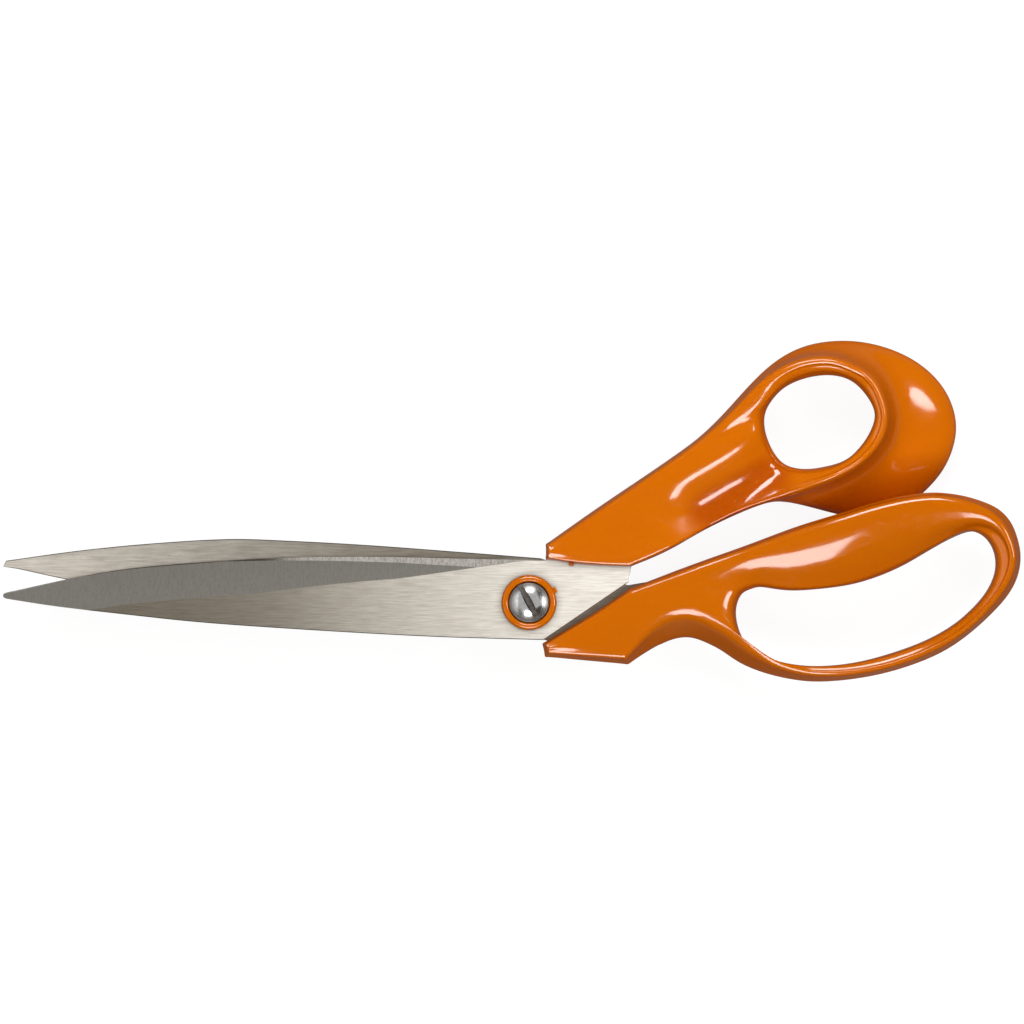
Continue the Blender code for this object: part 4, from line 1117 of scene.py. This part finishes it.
def floor():
    """A pale floor just under the lowest point."""
    low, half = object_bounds()[0][2] - FLOOR_GAP, FLOOR_HALF
    mesh = bpy.data.meshes.new("floor")
    corners = [(-half, -half, low), (half, -half, low), (half, half, low), (-half, half, low)]
    mesh.from_pydata(corners, [], [(0, 1, 2, 3)])
    made, g = new_material("pale_floor")
    cloud = g.noise(g.space(), 3, 2, 0.5)
    colour = g.mix(g.ramp(cloud, 0.3, 0.7), (0.86, 0.86, 0.86, 1), (0.89, 0.89, 0.885, 1))
    rays = g.put("LightPath")
    glow = g.ramp(rays["Is Glossy Ray"], 0, 1, FLOOR_GLOW, FLOOR_GLOSS)
    glow = g.most(glow, g.times(rays["Is Camera Ray"], FLOOR_SEEN))
    diffuse = g.put("BsdfDiffuse", {"Color": g.mix(0.85, colour, (0, 0, 0, 1))})[0]
    tint = g.mix(rays["Is Glossy Ray"], (1, 1, 1, 1), FLOOR_SHEEN)
    light = g.put("Emission", {"Color": tint, "Strength": glow})[0]
    g.put("OutputMaterial", {"Surface": g.put("AddShader", {0: diffuse, 1: light})[0]})
    add_object("floor", mesh, made)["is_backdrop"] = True


def studio():
    """Soft lamps for the plastic, smaller ones for the screw, cards for the blades, and a dim room."""
    softbox("lamp_top", 35, 90, 0.38, 0.32, 11.5, -0.03, spares=STEEL)
    softbox("lamp_bottom", 29, -90, 0.3, 0.34, 8.5, spares=STEEL)
    softbox("lamp_right", 42, 6, 0.26, 0.22, 10, spares=SCREW + THUMB_RING)
    softbox("lamp_flare", 40, 27, 0.38, 0.24, 10, lights=THUMB_RING)
    softbox("lamp_rest", 28, -55, 0.28, 0.14, 10, lights=THUMB_RING).visible_diffuse = False
    softbox("screw_top", 34, 86, 0.25, 0.2, 6, lights=SCREW)
    softbox("screw_right", 42, 4, 0.3, 0.22, 6, lights=SCREW)
    softbox("screw_bottom", 28, -94, 0.24, 0.2, 6, lights=SCREW)
    softbox("card_screw", 8, 120, 1.5, 1.5, 0.5, distance=1.3, lights=SCREW)
    softbox("panel_left", 40, 180, 0.95, 0.36, 0.8)
    softbox("card_bevel", 30, 90, 0.6, 0.16, 0.36, distance=0.25, lights=["blade_front"])
    softbox("card_edge", 79, 90, 1.2, 0.12, 0.75, distance=0.5, lights=["blade_front"])
    blade_card("card_front", "blade_front", FRONT_CARD)
    blade_card("card_back", "blade_back", BACK_CARD)
    world = bpy.data.worlds.new("room")
    bpy.context.scene.world = world
    world.use_nodes = True
    g = Graph(world.node_tree)
    height = g.part(g.put("TexCoord")["Generated"], 2)
    colour = g.mix(g.ramp(height, 0, 0.6), ROOM_LOW, ROOM_HIGH)
    g.put("OutputWorld", {"Surface": g.put("Background", {"Color": colour})[0]})


def camera():
    """Straight down on the shears, the blades pointing left."""
    data = bpy.data.cameras.new("camera")
    data.type = "ORTHO"
    data.ortho_scale = VIEW_WIDTH * MM
    data.clip_end = 5
    made = add_object("camera", data)
    made.location = (VIEW_CENTRE[0] * MM, VIEW_CENTRE[1] * MM, 1)
    bpy.context.scene.camera = made


def shears():
    front = blade_outline(FRONT_SPINE, FRONT_TIP, FRONT_EDGE, FRONT_TANG)
    back = blade_outline(BACK_SPINE, BACK_TIP, BACK_EDGE, BACK_TANG)
    steel = ground_steel("front_blade_steel", 0, 0.4)
    cut = (FRONT_EDGE, 1, SLEEVE_R + PART_GAP, FRONT_ANCHORS)
    fine_blade("blade_front", front, *cut, steel, "front_blade", "thumb_half")
    steel = ground_steel("back_blade_steel", 0.37, 1)
    cut = (BACK_TIP + BACK_EDGE, -1, THREAD_R + PART_GAP, BACK_ANCHORS)
    fine_blade("blade_back", back, *cut, steel, "back_blade", "finger_half")
    thumb = handle("handle_thumb", THUMB, moulded_plastic("thumb_plastic", 0))
    press_thumb_rest(thumb)
    relief = solid("relief", box, SWING_RELIEF_SIZE, SWING_RELIEF_AT)
    more = (relief, "DIFFERENCE"), (solid("nub", nub), "UNION")
    fine_handle(thumb, front, 1, FRONT_ANCHORS, "thumb_handle", "thumb_half", *more)
    finger = handle("handle_finger", FINGER, moulded_plastic("finger_plastic", 0.5))
    fine_handle(finger, back, -1, BACK_ANCHORS, "finger_handle", "finger_half")
    fine_screw(polished_steel("screw_polish", 0.1, 0.2, (MIDDLE + BLADE_OUT + 2.7) * MM))
    fine_bush(moulded_plastic("bush_plastic", 0.8))
    fine_washer(polished_steel("washer_steel", 0.14, 0.26))
    fine_nut(polished_steel("nut_steel", 0.16, 0.3))


shears()
floor()
studio()
camera()
bpy.context.scene.view_settings.view_transform = "Standard"
